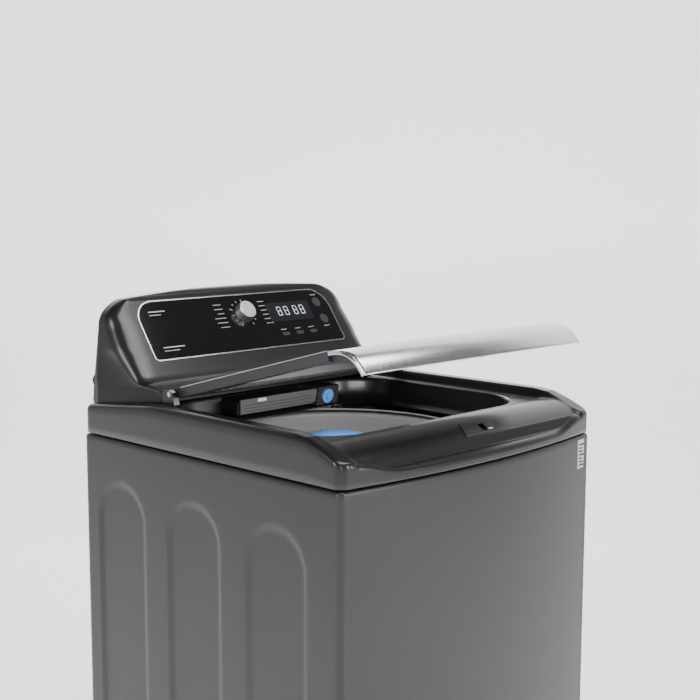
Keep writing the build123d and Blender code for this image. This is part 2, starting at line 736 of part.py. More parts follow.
LOCK_TOP_Z = 902
with BuildPart() as lid_lock_housing:
    with BuildSketch(Plane.XY.offset(LOCK_TOP_Z - 24)):
        with Locations((SLOT_X - 6, -307)):
            Rectangle(106, 30)
    extrude(amount=24)
    with BuildSketch(Plane.XY.offset(LOCK_TOP_Z)):
        with Locations((BOLT_X + 1, BOLT_Y + 3.4), (BOLT_X + 1, BOLT_Y - 3.4)):
            Rectangle(34, 2.4)
    extrude(amount=3.2)
    with BuildSketch(Plane.XY.offset(LOCK_TOP_Z - 12)):
        with Locations((SLOT_X, SLOT_Y)):
            Rectangle(16, 16)
    extrude(amount=30, mode=Mode.SUBTRACT)
lid_lock_housing.part.label = "lid_lock_housing"
export_step(lid_lock_housing.part, "parts/lid_lock_housing.step")

with BuildPart() as lock_bolt:
    with BuildSketch(Plane.XY.offset(LOCK_TOP_Z + 0.1)):
        with Locations((BOLT_X, BOLT_Y)):
            Rectangle(30, 3.6)
    extrude(amount=2.4)
lock_bolt.part.label = "lock_bolt"
export_step(lock_bolt.part, "parts/lock_bolt.step")

with BuildPart() as hinge_brackets:
    for side in (-1, 1):
        with BuildSketch(Plane.YZ.offset(side * 304.5)):
            with BuildLine():
                Polyline((116, DECK_Z), (122, HINGE_Z + 4), (134, HINGE_Z + 7), (149.5, HINGE_Z + 6))
                Polyline((149.5, HINGE_Z + 6), (149.5, DECK_Z), (116, DECK_Z))
            make_face()
            with Locations((HINGE_Y, HINGE_Z)):
                Circle(5, mode=Mode.SUBTRACT)
        extrude(amount=6, both=True)
hinge_brackets.part.label = "hinge_brackets"
export_step(hinge_brackets.part, "parts/hinge_brackets.step")

PIN_R = 5
with BuildPart() as hinge_pins:
    for side in (-1, 1):
        with BuildSketch(Plane.YZ.offset(side * 292)):
            with Locations((HINGE_Y, HINGE_Z)):
                Circle(PIN_R)
        extrude(amount=18, both=True)
hinge_pins.part.label = "hinge_pins"
export_step(hinge_pins.part, "parts/hinge_pins.step")

with BuildPart() as lid_dampers:
    for side in (-1, 1):
        with BuildSketch(Plane.YZ.offset(side * 270)):
            with Locations((166, 950.4)):
                Circle(4.5)
        extrude(amount=20, both=True)
lid_dampers.part.label = "lid_dampers"
export_step(lid_dampers.part, "parts/lid_dampers.step")

# ---- dispenser ----------------------------------------------------------------------------------
with BuildPart() as dispenser_housing:
    case_width = DRAWER_WIDTH + 2 * (CASE_GAP + CASE_WALL)
    case_height = DRAWER_TOP_Z - DRAWER_BASE_Z + 2 * CASE_GAP + 2 * CASE_WALL
    case_z = (DRAWER_BASE_Z + DRAWER_TOP_Z) / 2
    with BuildSketch(Plane.XZ.offset(-(DRAWER_FRONT_Y + 6))):
        with Locations((DRAWER_MID, case_z)):
            Rectangle(case_width, case_height)
    extrude(amount=-(DRAWER_BACK_Y - DRAWER_FRONT_Y))
    with BuildSketch(Plane.XZ.offset(-(DRAWER_FRONT_Y + 5))):
        with Locations((DRAWER_MID, case_z)):
            Rectangle(case_width - 2 * CASE_WALL, case_height - 2 * CASE_WALL)
    extrude(amount=-(DRAWER_BACK_Y - DRAWER_FRONT_Y - 2), mode=Mode.SUBTRACT)
dispenser_housing.part.label = "dispenser_housing"
export_step(dispenser_housing.part, "parts/dispenser_housing.step")

with BuildPart() as detergent_drawer:
    with BuildSketch(Plane.XY.offset(DRAWER_BASE_Z)):
        with Locations((DRAWER_MID, (DRAWER_FRONT_Y + 5 + DRAWER_BACK_Y) / 2)):
            Rectangle(DRAWER_WIDTH, DRAWER_BACK_Y - DRAWER_FRONT_Y - 5)
    extrude(amount=DRAWER_TOP_Z - DRAWER_BASE_Z)
    with BuildSketch(Plane.XY.offset(DRAWER_BASE_Z + 2)):
        with Locations((DRAWER_MID - 50, 247), (DRAWER_MID + 50, 247)):
            Rectangle(96, 148)
    extrude(amount=DRAWER_TOP_Z, mode=Mode.SUBTRACT)
detergent_drawer.part.label = "detergent_drawer"
export_step(detergent_drawer.part, "parts/detergent_drawer.step")

with BuildPart() as drawer_front:
    with BuildSketch(Plane.XZ.offset(-(DRAWER_FRONT_Y + 5))):
        with BuildLine():
            Polyline((DRAWER_LEFT, 921), (DRAWER_LEFT, 892), (DRAWER_RIGHT - 14, 892))
            ThreePointArc((DRAWER_RIGHT - 14, 892), (DRAWER_RIGHT - 2, 904), (DRAWER_RIGHT, 921))
            Line((DRAWER_RIGHT, 921), (DRAWER_LEFT, 921))
        make_face()
    extrude(amount=5)
    fillet(drawer_front.edges().group_by(Axis.Y)[0], 1.2)
drawer_front.part.label = "drawer_front"
export_step(drawer_front.part, "parts/drawer_front.step")

NOZZLE_X = 130
NOZZLE_Z = 903
with BuildPart() as nozzle_housing:
    nozzle_back = WELL_BACK_Y - WALL - 0.3
    with BuildSketch(Plane.YZ.offset(DRAWER_RIGHT + 6)):
        with BuildLine():
            Polyline((172, 884), (nozzle_back, 884), (nozzle_back, 922.5), (166, 922.5), close=True)
        make_face()
    extrude(amount=60)
nozzle_housing.part.label = "nozzle_housing"
export_step(nozzle_housing.part, "parts/nozzle_housing.step")

with BuildPart() as spray_nozzle:
    nozzle_plane = Plane(
        origin=(NOZZLE_X, 168.6, NOZZLE_Z),
        x_dir=(1, 0, 0),
        z_dir=(0, -cos(radians(9)), -sin(radians(9))),
    )
    with BuildSketch(nozzle_plane):
        Circle(15)
    extrude(amount=5)
    with BuildSketch(nozzle_plane.offset(5)):
        Circle(7)
    extrude(amount=3)
spray_nozzle.part.label = "spray_nozzle"
export_step(spray_nozzle.part, "parts/spray_nozzle.step")

# ---- console ------------------------------------------------------------------------------------
def face_y(z, inset=0.0):
    """Depth of the sloped console face at height z, moved in by inset."""
    return FACE_Y + inset / sin(radians(FACE_ANGLE)) - (FACE_Z - z) / tan(radians(FACE_ANGLE))


def console_form(inset, floor_z):
    """Outside form of the console, drawn in by inset: sloped face, crowned top, flared cheeks."""
    eave_z = 968 - inset
    brow_z = 1120 - inset
    with BuildPart() as form:
        with BuildSketch(Plane.YZ):
            with BuildLine():
                Polyline(
                    (CONSOLE_FRONT_Y + inset, 960 - inset),
                    (face_y(eave_z, inset), eave_z),
                    (face_y(brow_z, inset), brow_z),
                )
                ThreePointArc(
                    (face_y(brow_z, inset), brow_z),
                    (332, HEIGHT - 1 - inset),
                    (CONSOLE_BACK_Y, HEIGHT - inset),
                )
                Polyline(
                    (CONSOLE_BACK_Y, HEIGHT - inset),
                    (CONSOLE_BACK_Y, floor_z if inset else 922.5),
                    (250, floor_z if inset else 931.7),
                    (250, 945) if inset else (200, 936.8),
                    (CONSOLE_FRONT_Y + inset, 945 if inset else 941.9),
                    (CONSOLE_FRONT_Y + inset, 960 - inset),
                )
            make_face()
        extrude(amount=HALF, both=True)
        with BuildSketch(Plane.XZ.offset(-CONSOLE_BACK_Y)):
            with BuildLine():
                Polyline((-312 + inset, 1085), (-334 + inset, 900), (334 - inset, 900), (312 - inset, 1085))
                ThreePointArc((312 - inset, 1085), (285 - inset, 1109 - inset), (238, 1122 - inset))
                ThreePointArc((238, 1122 - inset), (0, HEIGHT - inset), (-238, 1122 - inset))
                ThreePointArc((-238, 1122 - inset), (-285 + inset, 1109 - inset), (-312 + inset, 1085))
            make_face()
        extrude(amount=CONSOLE_BACK_Y, mode=Mode.INTERSECT)
        with BuildSketch(Plane.XY.offset(900)):
            with BuildLine():
                Polyline(
                    (-335 + inset, BACK_Y),
                    (-301 + inset, CONSOLE_FRONT_Y),
                    (301 - inset, CONSOLE_FRONT_Y),
                    (335 - inset, BACK_Y),
                    close=True,
                )
            make_face()
        extrude(amount=HEIGHT, mode=Mode.INTERSECT)
    return form.part


PANEL_HALF = 255
PANEL_LOW = -98
PANEL_HIGH = 30
PANEL_MID = (PANEL_LOW + PANEL_HIGH) / 2
PANEL_POCKET = 2
DIAL_SPOT = (6, -14)
DIAL_SHAFT_R = 3
POWER_SPOT = (222, -2)
START_SPOT = (222, -44)
OPTION_SPOTS = [(94 + 40 * step, -72) for step in range(3)]


def panel_plan(plane, margin=0.0):
    """Outline of the console's front panel: wide round corners above, small ones below."""
    half = PANEL_HALF + margin
    with BuildSketch(plane) as plan:
        with Locations((0, PANEL_MID)):
            Rectangle(2 * half, PANEL_HIGH - PANEL_LOW + 2 * margin)
        fillet(plan.vertices().group_by(Axis.Y)[-1], 44 + margin)
        fillet(plan.vertices().group_by(Axis.Y)[0], 8 + margin)
    return plan.sketch


def key_holes(plane, extra=0.0):
    """Holes for the dial's shaft and for every key, with extra clearance."""
    with BuildSketch(plane) as holes:
        with Locations(DIAL_SPOT):
            Circle(DIAL_SHAFT_R + RUN + extra)
        with Locations(POWER_SPOT, START_SPOT):
            Circle(11 + 0.4 + extra)
        with Locations(*OPTION_SPOTS):
            RectangleRounded(20.8 + extra, 8.8 + extra, 4.2)
    return holes.sketch


with BuildPart() as console_housing:
    add(console_form(0, 0))
    add(console_form(WALL + PANEL_POCKET, 900), mode=Mode.SUBTRACT)
    extrude(panel_plan(FACE.offset(-PANEL_POCKET), 2.6), amount=10, mode=Mode.SUBTRACT)
    extrude(key_holes(FACE.offset(-12), 0.4), amount=12, mode=Mode.SUBTRACT)
console_housing.part.label = "console_housing"
export_step(console_housing.part, "parts/console_housing.step")

with BuildPart() as console_fascia:
    extrude(panel_plan(FACE.offset(-PANEL_POCKET)), amount=PANEL_POCKET + 1)
    extrude(key_holes(FACE.offset(-12)), amount=20, mode=Mode.SUBTRACT)
    with BuildSketch(FACE.offset(0)):
        with Locations((134, -18)):
            RectangleRounded(124, 46, 4)
    extrude(amount=5, mode=Mode.SUBTRACT)
console_fascia.part.label = "console_fascia"
export_step(console_fascia.part, "parts/console_fascia.step")

with BuildPart() as fascia_trim:
    extrude(panel_plan(FACE.offset(-PANEL_POCKET), 2.5), amount=PANEL_POCKET + 1.4)
    extrude(panel_plan(FACE.offset(-PANEL_POCKET - 1)), amount=10, mode=Mode.SUBTRACT)
fascia_trim.part.label = "fascia_trim"
export_step(fascia_trim.part, "parts/fascia_trim.step")

with BuildPart() as display_window:
    with BuildSketch(FACE):
        with Locations((134, -18)):
            RectangleRounded(123.6, 45.6, 3.8)
    extrude(amount=1.2)
display_window.part.label = "display_window"
export_step(display_window.part, "parts/display_window.step")

with BuildPart() as cycle_dial:
    with BuildSketch(FACE.offset(1.3)):
        with Locations(DIAL_SPOT):
            Circle(21)
    extrude(amount=18, taper=5)
    fillet(cycle_dial.edges().sort_by(Axis.Z)[-1], 2)
    with BuildSketch(FACE.offset(-14)):
        with Locations(DIAL_SPOT):
            Circle(DIAL_SHAFT_R)
    extrude(amount=16)
    with BuildSketch(FACE.offset(15)):
        with Locations((DIAL_SPOT[0], DIAL_SPOT[1] + 13)):
            Circle(1.6)
    extrude(amount=6, mode=Mode.SUBTRACT)
cycle_dial.part.label = "cycle_dial"
export_step(cycle_dial.part, "parts/cycle_dial.step")

for key_name, key_spot in (("power_button", POWER_SPOT), ("start_button", START_SPOT)):
    with BuildPart() as round_key:
        with BuildSketch(FACE.offset(-4)):
            with Locations(key_spot):
                Circle(11)
        extrude(amount=7)
        chamfer(round_key.edges().sort_by(Axis.Z)[-1], 0.6)
    round_key.part.label = key_name
    export_step(round_key.part, f"parts/{key_name}.step")

for number, key_spot in enumerate(OPTION_SPOTS, start=1):
    with BuildPart() as option_key:
        with BuildSketch(FACE.offset(-4)):
            with Locations(key_spot):
                RectangleRounded(20, 8, 3.9)
        extrude(amount=7)
    option_key.part.label = f"option_button_{number}"
    export_step(option_key.part, f"parts/option_button_{number}.step")

with BuildPart() as control_board:
    with BuildSketch(FACE.offset(-24)):
        with Locations((60, -30)):
            Rectangle(380, 90)
    extrude(amount=2)
    with BuildSketch(FACE.offset(-31)):
        with Locations((60, -30)):
            with GridLocations(60, 40, 5, 2):
                Rectangle(26, 14)
    extrude(amount=7)
control_board.part.label = "control_board"
export_step(control_board.part, "parts/control_board.step")

with BuildPart() as console_rear_cover:
    with BuildSketch(Plane.XZ.offset(-(CONSOLE_BACK_Y + 0.2))):
        with BuildLine():
            Polyline((-308, 1085), (-328, 926), (328, 926), (308, 1085))
            ThreePointArc((308, 1085), (281, 1106), (238, 1118))
            ThreePointArc((238, 1118), (0, 1126), (-238, 1118))
            ThreePointArc((-238, 1118), (-281, 1106), (-308, 1085))
        make_face()
        with Locations(*INLET_SPOTS):
            Circle(INLET_R + 1, mode=Mode.SUBTRACT)
    extrude(amount=-3)
console_rear_cover.part.label = "console_rear_cover"
export_step(console_rear_cover.part, "parts/console_rear_cover.step")

# ---- lid, built tilted at its rest angle --------------------------------------------------------
BOW_R = (LID_HALF**2 + HANDLE_BOW**2) / (2 * HANDLE_BOW)
BOW_Y = BOW_R - HANDLE_REACH - HANDLE_BOW
BOW_TURN = 18
BOW_AXIS = Axis(LID.from_local_coords((0, BOW_Y, 0)), LID.z_dir)
PANEL_R = BOW_R - (HANDLE_REACH - PANEL_REACH)
HANDLE_DEPTH = HANDLE_REACH - PANEL_REACH


def bow_plane():
    """Upright plane through the bow's axis at its left end; local x is the distance from the axis."""
    out = LID.x_dir * -sin(radians(BOW_TURN / 2)) - LID.y_dir * cos(radians(BOW_TURN / 2))
    return Plane(origin=LID.from_local_coords((0, BOW_Y, 0)), x_dir=out, z_dir=out.cross(LID.z_dir))


def lid_slab(low, high, half):
    """Plain block of the lid's length between two heights and two sides, to trim pieces with."""
    with BuildPart() as slab:
        with BuildSketch(LID.offset(low)):
            with Locations((0, -HANDLE_REACH / 2)):
                Rectangle(2 * half, HANDLE_REACH + 200)
        extrude(amount=high - low)
    return slab.part


def lid_plan(height, half, reach, back):
    """Plan of a lid layer at a height above the pin: square behind, bowed in front."""
    radius = BOW_R - (HANDLE_REACH - reach)
    side_y = BOW_Y - (radius**2 - half**2) ** 0.5
    with BuildSketch(LID.offset(height)) as plan:
        with BuildLine():
            Polyline((-half, side_y), (-half, back), (half, back), (half, side_y))
            ThreePointArc((half, side_y), (0, BOW_Y - radius), (-half, side_y))
        make_face()
    return plan.sketch


def front_rib():
    """Bowed rib of the lid frame that carries the handle from below."""
    with BuildPart() as rib:
        with BuildSketch(bow_plane()):
            with BuildLine():
                Polyline(
                    (PANEL_R - 3, LID_TOP - 5),
                    (PANEL_R, LID_TOP - 5),
                    (PANEL_R + 25, LID_TOP - 13.5),
                    (PANEL_R + 42, LID_TOP - 24),
                    (PANEL_R + 42, LID_TOP - 29),
                    (PANEL_R + 20, LID_TOP - 22),
                    (PANEL_R - 3, LID_BOTTOM),
                    close=True,
                )
            make_face()
        revolve(axis=BOW_AXIS, revolution_arc=BOW_TURN)
        add(lid_slab(-60, 30, LID_HALF - 7), mode=Mode.INTERSECT)
    return rib.part


GLASS_Z = LID_TOP - GLASS
WINDOW_HALF = 255
with BuildPart() as lid_frame:
    extrude(lid_plan(LID_BOTTOM, LID_HALF, PANEL_REACH - 0.3, LID_BACK), amount=LID_TOP - LID_BOTTOM)
    extrude(lid_plan(GLASS_Z, LID_HALF - 4.6, PANEL_REACH + 5, -14), amount=20, mode=Mode.SUBTRACT)
    with BuildSketch(LID.offset(LID_BOTTOM)) as window:
        with BuildLine():
            Polyline((-WINDOW_HALF, -384), (-WINDOW_HALF, -140), (WINDOW_HALF, -140), (WINDOW_HALF, -384))
            ThreePointArc((WINDOW_HALF, -384), (0, -403), (-WINDOW_HALF, -384))
        make_face()
        fillet(window.vertices(), 22)
    extrude(amount=30, mode=Mode.SUBTRACT)
    with BuildSketch(Plane(origin=LID.origin, x_dir=LID.y_dir, z_dir=(1, 0, 0))):
        Circle(PIN_R + RUN)
    extrude(amount=HALF, both=True, mode=Mode.SUBTRACT)
    with BuildSketch(Plane(origin=LID.origin, x_dir=LID.y_dir, z_dir=(1, 0, 0))):
        Circle(PIN_R + RUN)
    extrude(amount=273, both=True)
    add(front_rib())
lid_frame.part.label = "lid_frame"
export_step(lid_frame.part, "parts/lid_frame.step")

with BuildPart() as lid_glass:
    extrude(lid_plan(GLASS_Z, LID_HALF - 5, PANEL_REACH - 1, -14.5), amount=GLASS)
lid_glass.part.label = "lid_glass"
export_step(lid_glass.part, "parts/lid_glass.step")

with BuildPart() as lid_handle:
    with BuildSketch(bow_plane()):
        with BuildLine():
            ThreePointArc(
                (PANEL_R, LID_TOP),
                (PANEL_R + 50, LID_TOP - 20),
                (PANEL_R + HANDLE_DEPTH, LID_TOP - HANDLE_DROP),
            )
            Line(
                (PANEL_R + HANDLE_DEPTH, LID_TOP - HANDLE_DROP),
                (PANEL_R + HANDLE_DEPTH - HANDLE_SKIN, LID_TOP - HANDLE_DROP),
            )
            ThreePointArc(
                (PANEL_R + HANDLE_DEPTH - HANDLE_SKIN, LID_TOP - HANDLE_DROP),
                (PANEL_R + 47.5, LID_TOP - 23),
                (PANEL_R, LID_TOP - HANDLE_SKIN),
            )
            Line((PANEL_R, LID_TOP - HANDLE_SKIN), (PANEL_R, LID_TOP))
        make_face()
    revolve(axis=BOW_AXIS, revolution_arc=BOW_TURN)
    add(lid_slab(-60, 30, LID_HALF - 3), mode=Mode.INTERSECT)
lid_handle.part.label = "lid_handle"
export_step(lid_handle.part, "parts/lid_handle.step")

with BuildPart() as handle_end_caps:
    with BuildSketch(bow_plane()):
        with BuildLine():
            ThreePointArc(
                (PANEL_R, LID_TOP),
                (PANEL_R + 50, LID_TOP - 20),
                (PANEL_R + HANDLE_DEPTH, LID_TOP - HANDLE_DROP),
            )
            Line(
                (PANEL_R + HANDLE_DEPTH, LID_TOP - HANDLE_DROP),
                (PANEL_R + HANDLE_DEPTH - 8, LID_TOP - HANDLE_DROP),
            )
            ThreePointArc(
                (PANEL_R + HANDLE_DEPTH - 8, LID_TOP - HANDLE_DROP),
                (PANEL_R + 44, LID_TOP - 27),
                (PANEL_R, LID_TOP - 12),
            )
            Line((PANEL_R, LID_TOP - 12), (PANEL_R, LID_TOP))
        make_face()
    revolve(axis=BOW_AXIS, revolution_arc=BOW_TURN)
    add(lid_slab(-60, 30, LID_HALF), mode=Mode.INTERSECT)
    add(lid_slab(-70, 40, LID_HALF - 3), mode=Mode.SUBTRACT)
handle_end_caps.part.label = "handle_end_caps"
export_step(handle_end_caps.part, "parts/handle_end_caps.step")

with BuildPart() as lid_bumpers:
    with BuildSketch(LID.offset(LID_BOTTOM - 4)):
        with Locations((-228, -400), (228, -400)):
            Circle(8)
    extrude(amount=4)
    chamfer(lid_bumpers.edges().group_by(Axis.Z)[0], 0.8)
lid_bumpers.part.label = "lid_bumpers"
export_step(lid_bumpers.part, "parts/lid_bumpers.step")

with BuildPart() as lid_striker:
    with BuildSketch(LID.offset(-40.4)):
        with Locations((SLOT_X, -449)):
            Rectangle(4, 9)
    extrude(amount=22.4)
    with BuildSketch(LID.offset(-18.8)):
        with Locations((SLOT_X, -449)):
            Rectangle(26, 12)
    extrude(amount=2)
    with BuildSketch(LID.offset(-38.2)):
        with Locations((SLOT_X, -449)):
            Rectangle(8, 5)
    extrude(amount=4.8, mode=Mode.SUBTRACT)
lid_striker.part.label = "lid_striker"
export_step(lid_striker.part, "parts/lid_striker.step")

with BuildPart() as rear_screws:
    with BuildSketch(Plane.XZ.offset(-BACK_Y)):
        with GridLocations(WIDTH - 40, 250, 2, 4):
            with Locations((0, (SHELL_BASE + SHELL_TOP) / 2)):
                RegularPolygon(4.5, 6)
    extrude(amount=-3)
rear_screws.part.label = "rear_screws"
export_step(rear_screws.part, "parts/rear_screws.step")
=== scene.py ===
"""Top-loading washing machine: the visible pieces, their finishes, the stage and the camera."""

import json
import math
import random

import bmesh
import bpy
from bpy.props import FloatProperty, FloatVectorProperty, IntProperty, PointerProperty
from mathutils import Matrix, Vector


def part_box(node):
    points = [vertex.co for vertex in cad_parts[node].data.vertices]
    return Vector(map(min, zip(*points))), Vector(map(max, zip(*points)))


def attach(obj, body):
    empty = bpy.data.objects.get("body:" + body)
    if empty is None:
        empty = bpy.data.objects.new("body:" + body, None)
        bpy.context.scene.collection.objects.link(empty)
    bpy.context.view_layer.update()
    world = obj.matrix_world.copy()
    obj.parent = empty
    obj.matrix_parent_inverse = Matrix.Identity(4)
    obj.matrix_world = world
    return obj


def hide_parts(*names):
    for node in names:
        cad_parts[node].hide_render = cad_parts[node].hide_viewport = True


bl_info = {
    "name": "Top Load Washer",
    "version": (1, 0, 0),
    "blender": (4, 5, 0),
    "location": "3D View > Sidebar > Washer",
    "description": "Builds a top-loading washing machine round its engineering model",
    "category": "Object",
}

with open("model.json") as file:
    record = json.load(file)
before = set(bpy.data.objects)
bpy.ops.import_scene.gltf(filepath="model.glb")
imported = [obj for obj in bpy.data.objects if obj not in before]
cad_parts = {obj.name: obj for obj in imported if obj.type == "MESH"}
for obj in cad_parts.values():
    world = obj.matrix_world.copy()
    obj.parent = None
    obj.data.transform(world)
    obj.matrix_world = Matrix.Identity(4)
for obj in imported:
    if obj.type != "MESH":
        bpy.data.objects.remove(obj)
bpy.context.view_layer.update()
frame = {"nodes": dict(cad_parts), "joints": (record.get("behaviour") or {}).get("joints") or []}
JOINTS = {joint["name"]: joint for joint in frame["joints"]}


# ---- places read from the frame -----------------------------------------------------------------
def node_box(node):
    """Lowest and highest corner of an engineering node, as vectors."""
    low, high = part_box(node)
    return Vector(low), Vector(high)


COVER_LOW, COVER_HIGH = node_box("top_cover")
SHELL_LOW, SHELL_HIGH = node_box("cabinet_shell")
RING_LOW, RING_HIGH = node_box("balance_ring")
DRUM_LOW, DRUM_HIGH = node_box("drum")
HALF = COVER_HIGH.x
FRONT = COVER_LOW.y
BACK = COVER_HIGH.y
SKIRT = COVER_LOW.z
DECK = COVER_HIGH.z
TUB_Y = (DRUM_LOW.y + DRUM_HIGH.y) / 2
HINGE = Vector(JOINTS["lid_hinge"]["pos_m"])
LID_REST = math.radians(15)
LID_PLACE = Matrix.Translation(HINGE) @ Matrix.Rotation(-LID_REST, 4, "X")
FACE_NORMAL = Vector(JOINTS["dial_turn"]["axis"]).normalized()
FACE_UP = Vector((1, 0, 0)).cross(FACE_NORMAL) * -1


# ---- settings -----------------------------------------------------------------------------------
class WasherSizes(bpy.types.PropertyGroup):
    """Sizes of the visible detail, in metres."""

    bow: FloatProperty(
        name="Front bow", description="How far the front bows out", default=0.030, unit="LENGTH"
    )
    arch_width: FloatProperty(
        name="Arch width", description="Width of a pressed side arch", default=0.136, unit="LENGTH"
    )
    arch_gap: FloatProperty(
        name="Arch gap", description="Gap between side arches", default=0.075, unit="LENGTH"
    )
    arch_inset: FloatProperty(
        name="Arch inset", description="From the rear edge to the first arch", default=0.041, unit="LENGTH"
    )
    arch_depth: FloatProperty(
        name="Arch depth", description="Depth of the pressing", default=0.004, unit="LENGTH"
    )
    arch_top: FloatProperty(
        name="Arch top",
        description="From the cover's lower edge to the arches",
        default=0.085,
        unit="LENGTH",
    )
    arch_foot: FloatProperty(
        name="Arch foot", description="Height of the arches' feet", default=0.150, unit="LENGTH"
    )
    hole: FloatProperty(
        name="Basket hole", description="Diameter of a basket hole", default=0.0042, unit="LENGTH"
    )
    hole_rows: IntProperty(name="Hole rows", description="Rows of holes in the basket", default=22)
    hole_turns: IntProperty(name="Holes round", description="Holes in one row", default=72)


class WasherColours(bpy.types.PropertyGroup):
    """Base colours of the finishes."""

    paint: FloatVectorProperty(
        name="Cabinet", description="Cabinet paint", default=(0.046, 0.043, 0.0425), subtype="COLOR"
    )
    cover: FloatVectorProperty(
        name="Cover", description="Top cover and console", default=(0.014, 0.0125, 0.012), subtype="COLOR"
    )
    silver: FloatVectorProperty(
        name="Silver", description="Handle and trim", default=(0.70, 0.70, 0.71), subtype="COLOR"
    )
    glass: FloatVectorProperty(
        name="Glass", description="Smoked lid glass", default=(0.020, 0.020, 0.021), subtype="COLOR"
    )
    gloss: FloatVectorProperty(
        name="Panel", description="Glossy front panel", default=(0.006, 0.006, 0.007), subtype="COLOR"
    )
    blue: FloatVectorProperty(
        name="Blue", description="Agitator cap and nozzle", default=(0.110, 0.330, 0.780), subtype="COLOR"
    )
    steel: FloatVectorProperty(
        name="Basket steel", description="Stainless basket", default=(0.60, 0.61, 0.62), subtype="COLOR"
    )
    grey: FloatVectorProperty(
        name="Grey plastic",
        description="Drawer and dispenser",
        default=(0.100, 0.098, 0.097),
        subtype="COLOR",
    )
    floor: FloatVectorProperty(
        name="Floor", description="Studio floor", default=(0.86, 0.86, 0.86), subtype="COLOR"
    )


def sizes():
    """The size settings."""
    return bpy.context.scene.washer_sizes


def colours():
    """The colour settings."""
    return bpy.context.scene.washer_colours


# ---- shader expressions -------------------------------------------------------------------------
class Wire:
    """One shader socket. Arithmetic on wires adds the Math nodes that work it out."""

    def __init__(self, finish, socket):
        self.finish = finish
        self.socket = socket

    def maths(self, operation, first, second):
        return self.finish.node("ShaderNodeMath", {"operation": operation}, {0: first, 1: second})

    def __add__(self, other):
        return self.maths("ADD", self, other)

    def __radd__(self, other):
        return self.maths("ADD", other, self)

    def __sub__(self, other):
        return self.maths("SUBTRACT", self, other)

    def __rsub__(self, other):
        return self.maths("SUBTRACT", other, self)

    def __mul__(self, other):
        return self.maths("MULTIPLY", self, other)

    def __rmul__(self, other):
        return self.maths("MULTIPLY", other, self)

    def __truediv__(self, other):
        return self.maths("DIVIDE", self, other)

    def __mod__(self, other):
        return self.maths("FLOORED_MODULO", self, other)

    def __lt__(self, other):
        return self.maths("LESS_THAN", self, other)

    def __gt__(self, other):
        return self.maths("GREATER_THAN", self, other)

    def __abs__(self):
        return self.maths("ABSOLUTE", self, 0.0)


class Finish:
    """A material while its nodes are being wired. Fixed values go straight onto the surface's sockets."""

    def __init__(self, name, **fixed):
        self.material = bpy.data.materials.new(name)
        self.material.use_nodes = True
        self.tree = self.material.node_tree
        self.surface = self.tree.nodes["Principled BSDF"]
        for words, value in fixed.items():
            self.feed(words.replace("_", " ").title().replace("Ior", "IOR"), value)

    def feed(self, socket_name, value):
        """Sets or links one socket of the surface."""
        self.join(self.surface.inputs[socket_name], value)
        return self

    def join(self, socket, value):
        if isinstance(value, Wire):
            self.tree.links.new(value.socket, socket)
        elif socket.type == "RGBA":
            socket.default_value = (*value[:3], 1.0)
        else:
            socket.default_value = value

    def node(self, kind, settings=None, inputs=None, output=0):
        """Adds a node: its settings first, then the values or wires of its sockets."""
        made = self.tree.nodes.new(kind)
        for name, value in (settings or {}).items():
            if name == "stops":
                self.set_stops(made.color_ramp, value)
            else:
                setattr(made, name, value)
        for name, value in (inputs or {}).items():
            self.join(made.inputs[name], value)
        return Wire(self, made.outputs[output])

    @staticmethod
    def set_stops(ramp, stops):
        while len(ramp.elements) < len(stops):
            ramp.elements.new(1.0)
        for element, (place, shade) in zip(ramp.elements, stops):
            element.position = place
            element.color = (shade, shade, shade, 1.0) if isinstance(shade, float) else (*shade, 1.0)

    def place(self, stretch=(1, 1, 1)):
        """The point on the object, in metres, stretched along each axis."""
        here = self.node("ShaderNodeTexCoord", output="Object")
        return self.node("ShaderNodeVectorMath", {"operation": "MULTIPLY"}, {0: here, 1: stretch})

    def noise(self, scale, detail=3.0, stretch=(1, 1, 1)):
        """Cloudy noise from 0 to 1, with the given number of clouds to a metre."""
        wires = {"Vector": self.place(stretch), "Scale": scale, "Detail": detail}
        return self.node("ShaderNodeTexNoise", None, wires)

    def axis(self, name):
        """One coordinate of the point, in metres."""
        return self.node("ShaderNodeSeparateXYZ", None, {0: self.place()}, output=name)

    def blend(self, factor, low, high):
        """A colour between two colours."""
        wires = {"Factor": factor, 6: low, 7: high}
        return self.node("ShaderNodeMix", {"data_type": "RGBA"}, wires, output=2)

    def tint(self, colour, factor, strength):
        """The colour, made darker and lighter by a wire about one half."""
        dark = [part * (1 - strength) for part in colour]
        light = [min(1.0, part * (1 + strength)) for part in colour]
        return self.blend(factor, dark, light)

    def bump(self, height, distance, strength=1.0):
        """Feeds the surface's normal from a height wire, in metres of relief."""
        wires = {"Height": height, "Distance": distance, "Strength": strength}
        self.feed("Normal", self.node("ShaderNodeBump", None, wires))
        return self


# ---- finishes -----------------------------------------------------------------------------------
def edge_lightening(finish):
    """A faint mask on sharp outer edges, where the colour is made a little lighter."""
    sharp = finish.node("ShaderNodeNewGeometry", output="Pointiness")
    return finish.node("ShaderNodeValToRGB", {"stops": [(0.52, 0.0), (0.60, 1.0)]}, {0: sharp})


def metallic_paint():
    """Dark satin paint with fine metal flakes and a slight orange peel."""
    paint = Finish("cabinet_paint", metallic=0.75, ior=1.5, coat_weight=0.20, coat_roughness=0.30)
    flakes = paint.noise(2600, 2)
    clouds = paint.noise(3, 2)
    paint.feed("Base Color", paint.tint(colours().paint, flakes * 0.6 + clouds * 0.4, 0.28))
    paint.feed("Roughness", 0.36 + flakes * 0.06 + clouds * 0.05)
    return paint.bump(paint.noise(420, 2), 0.00004, 0.35).material


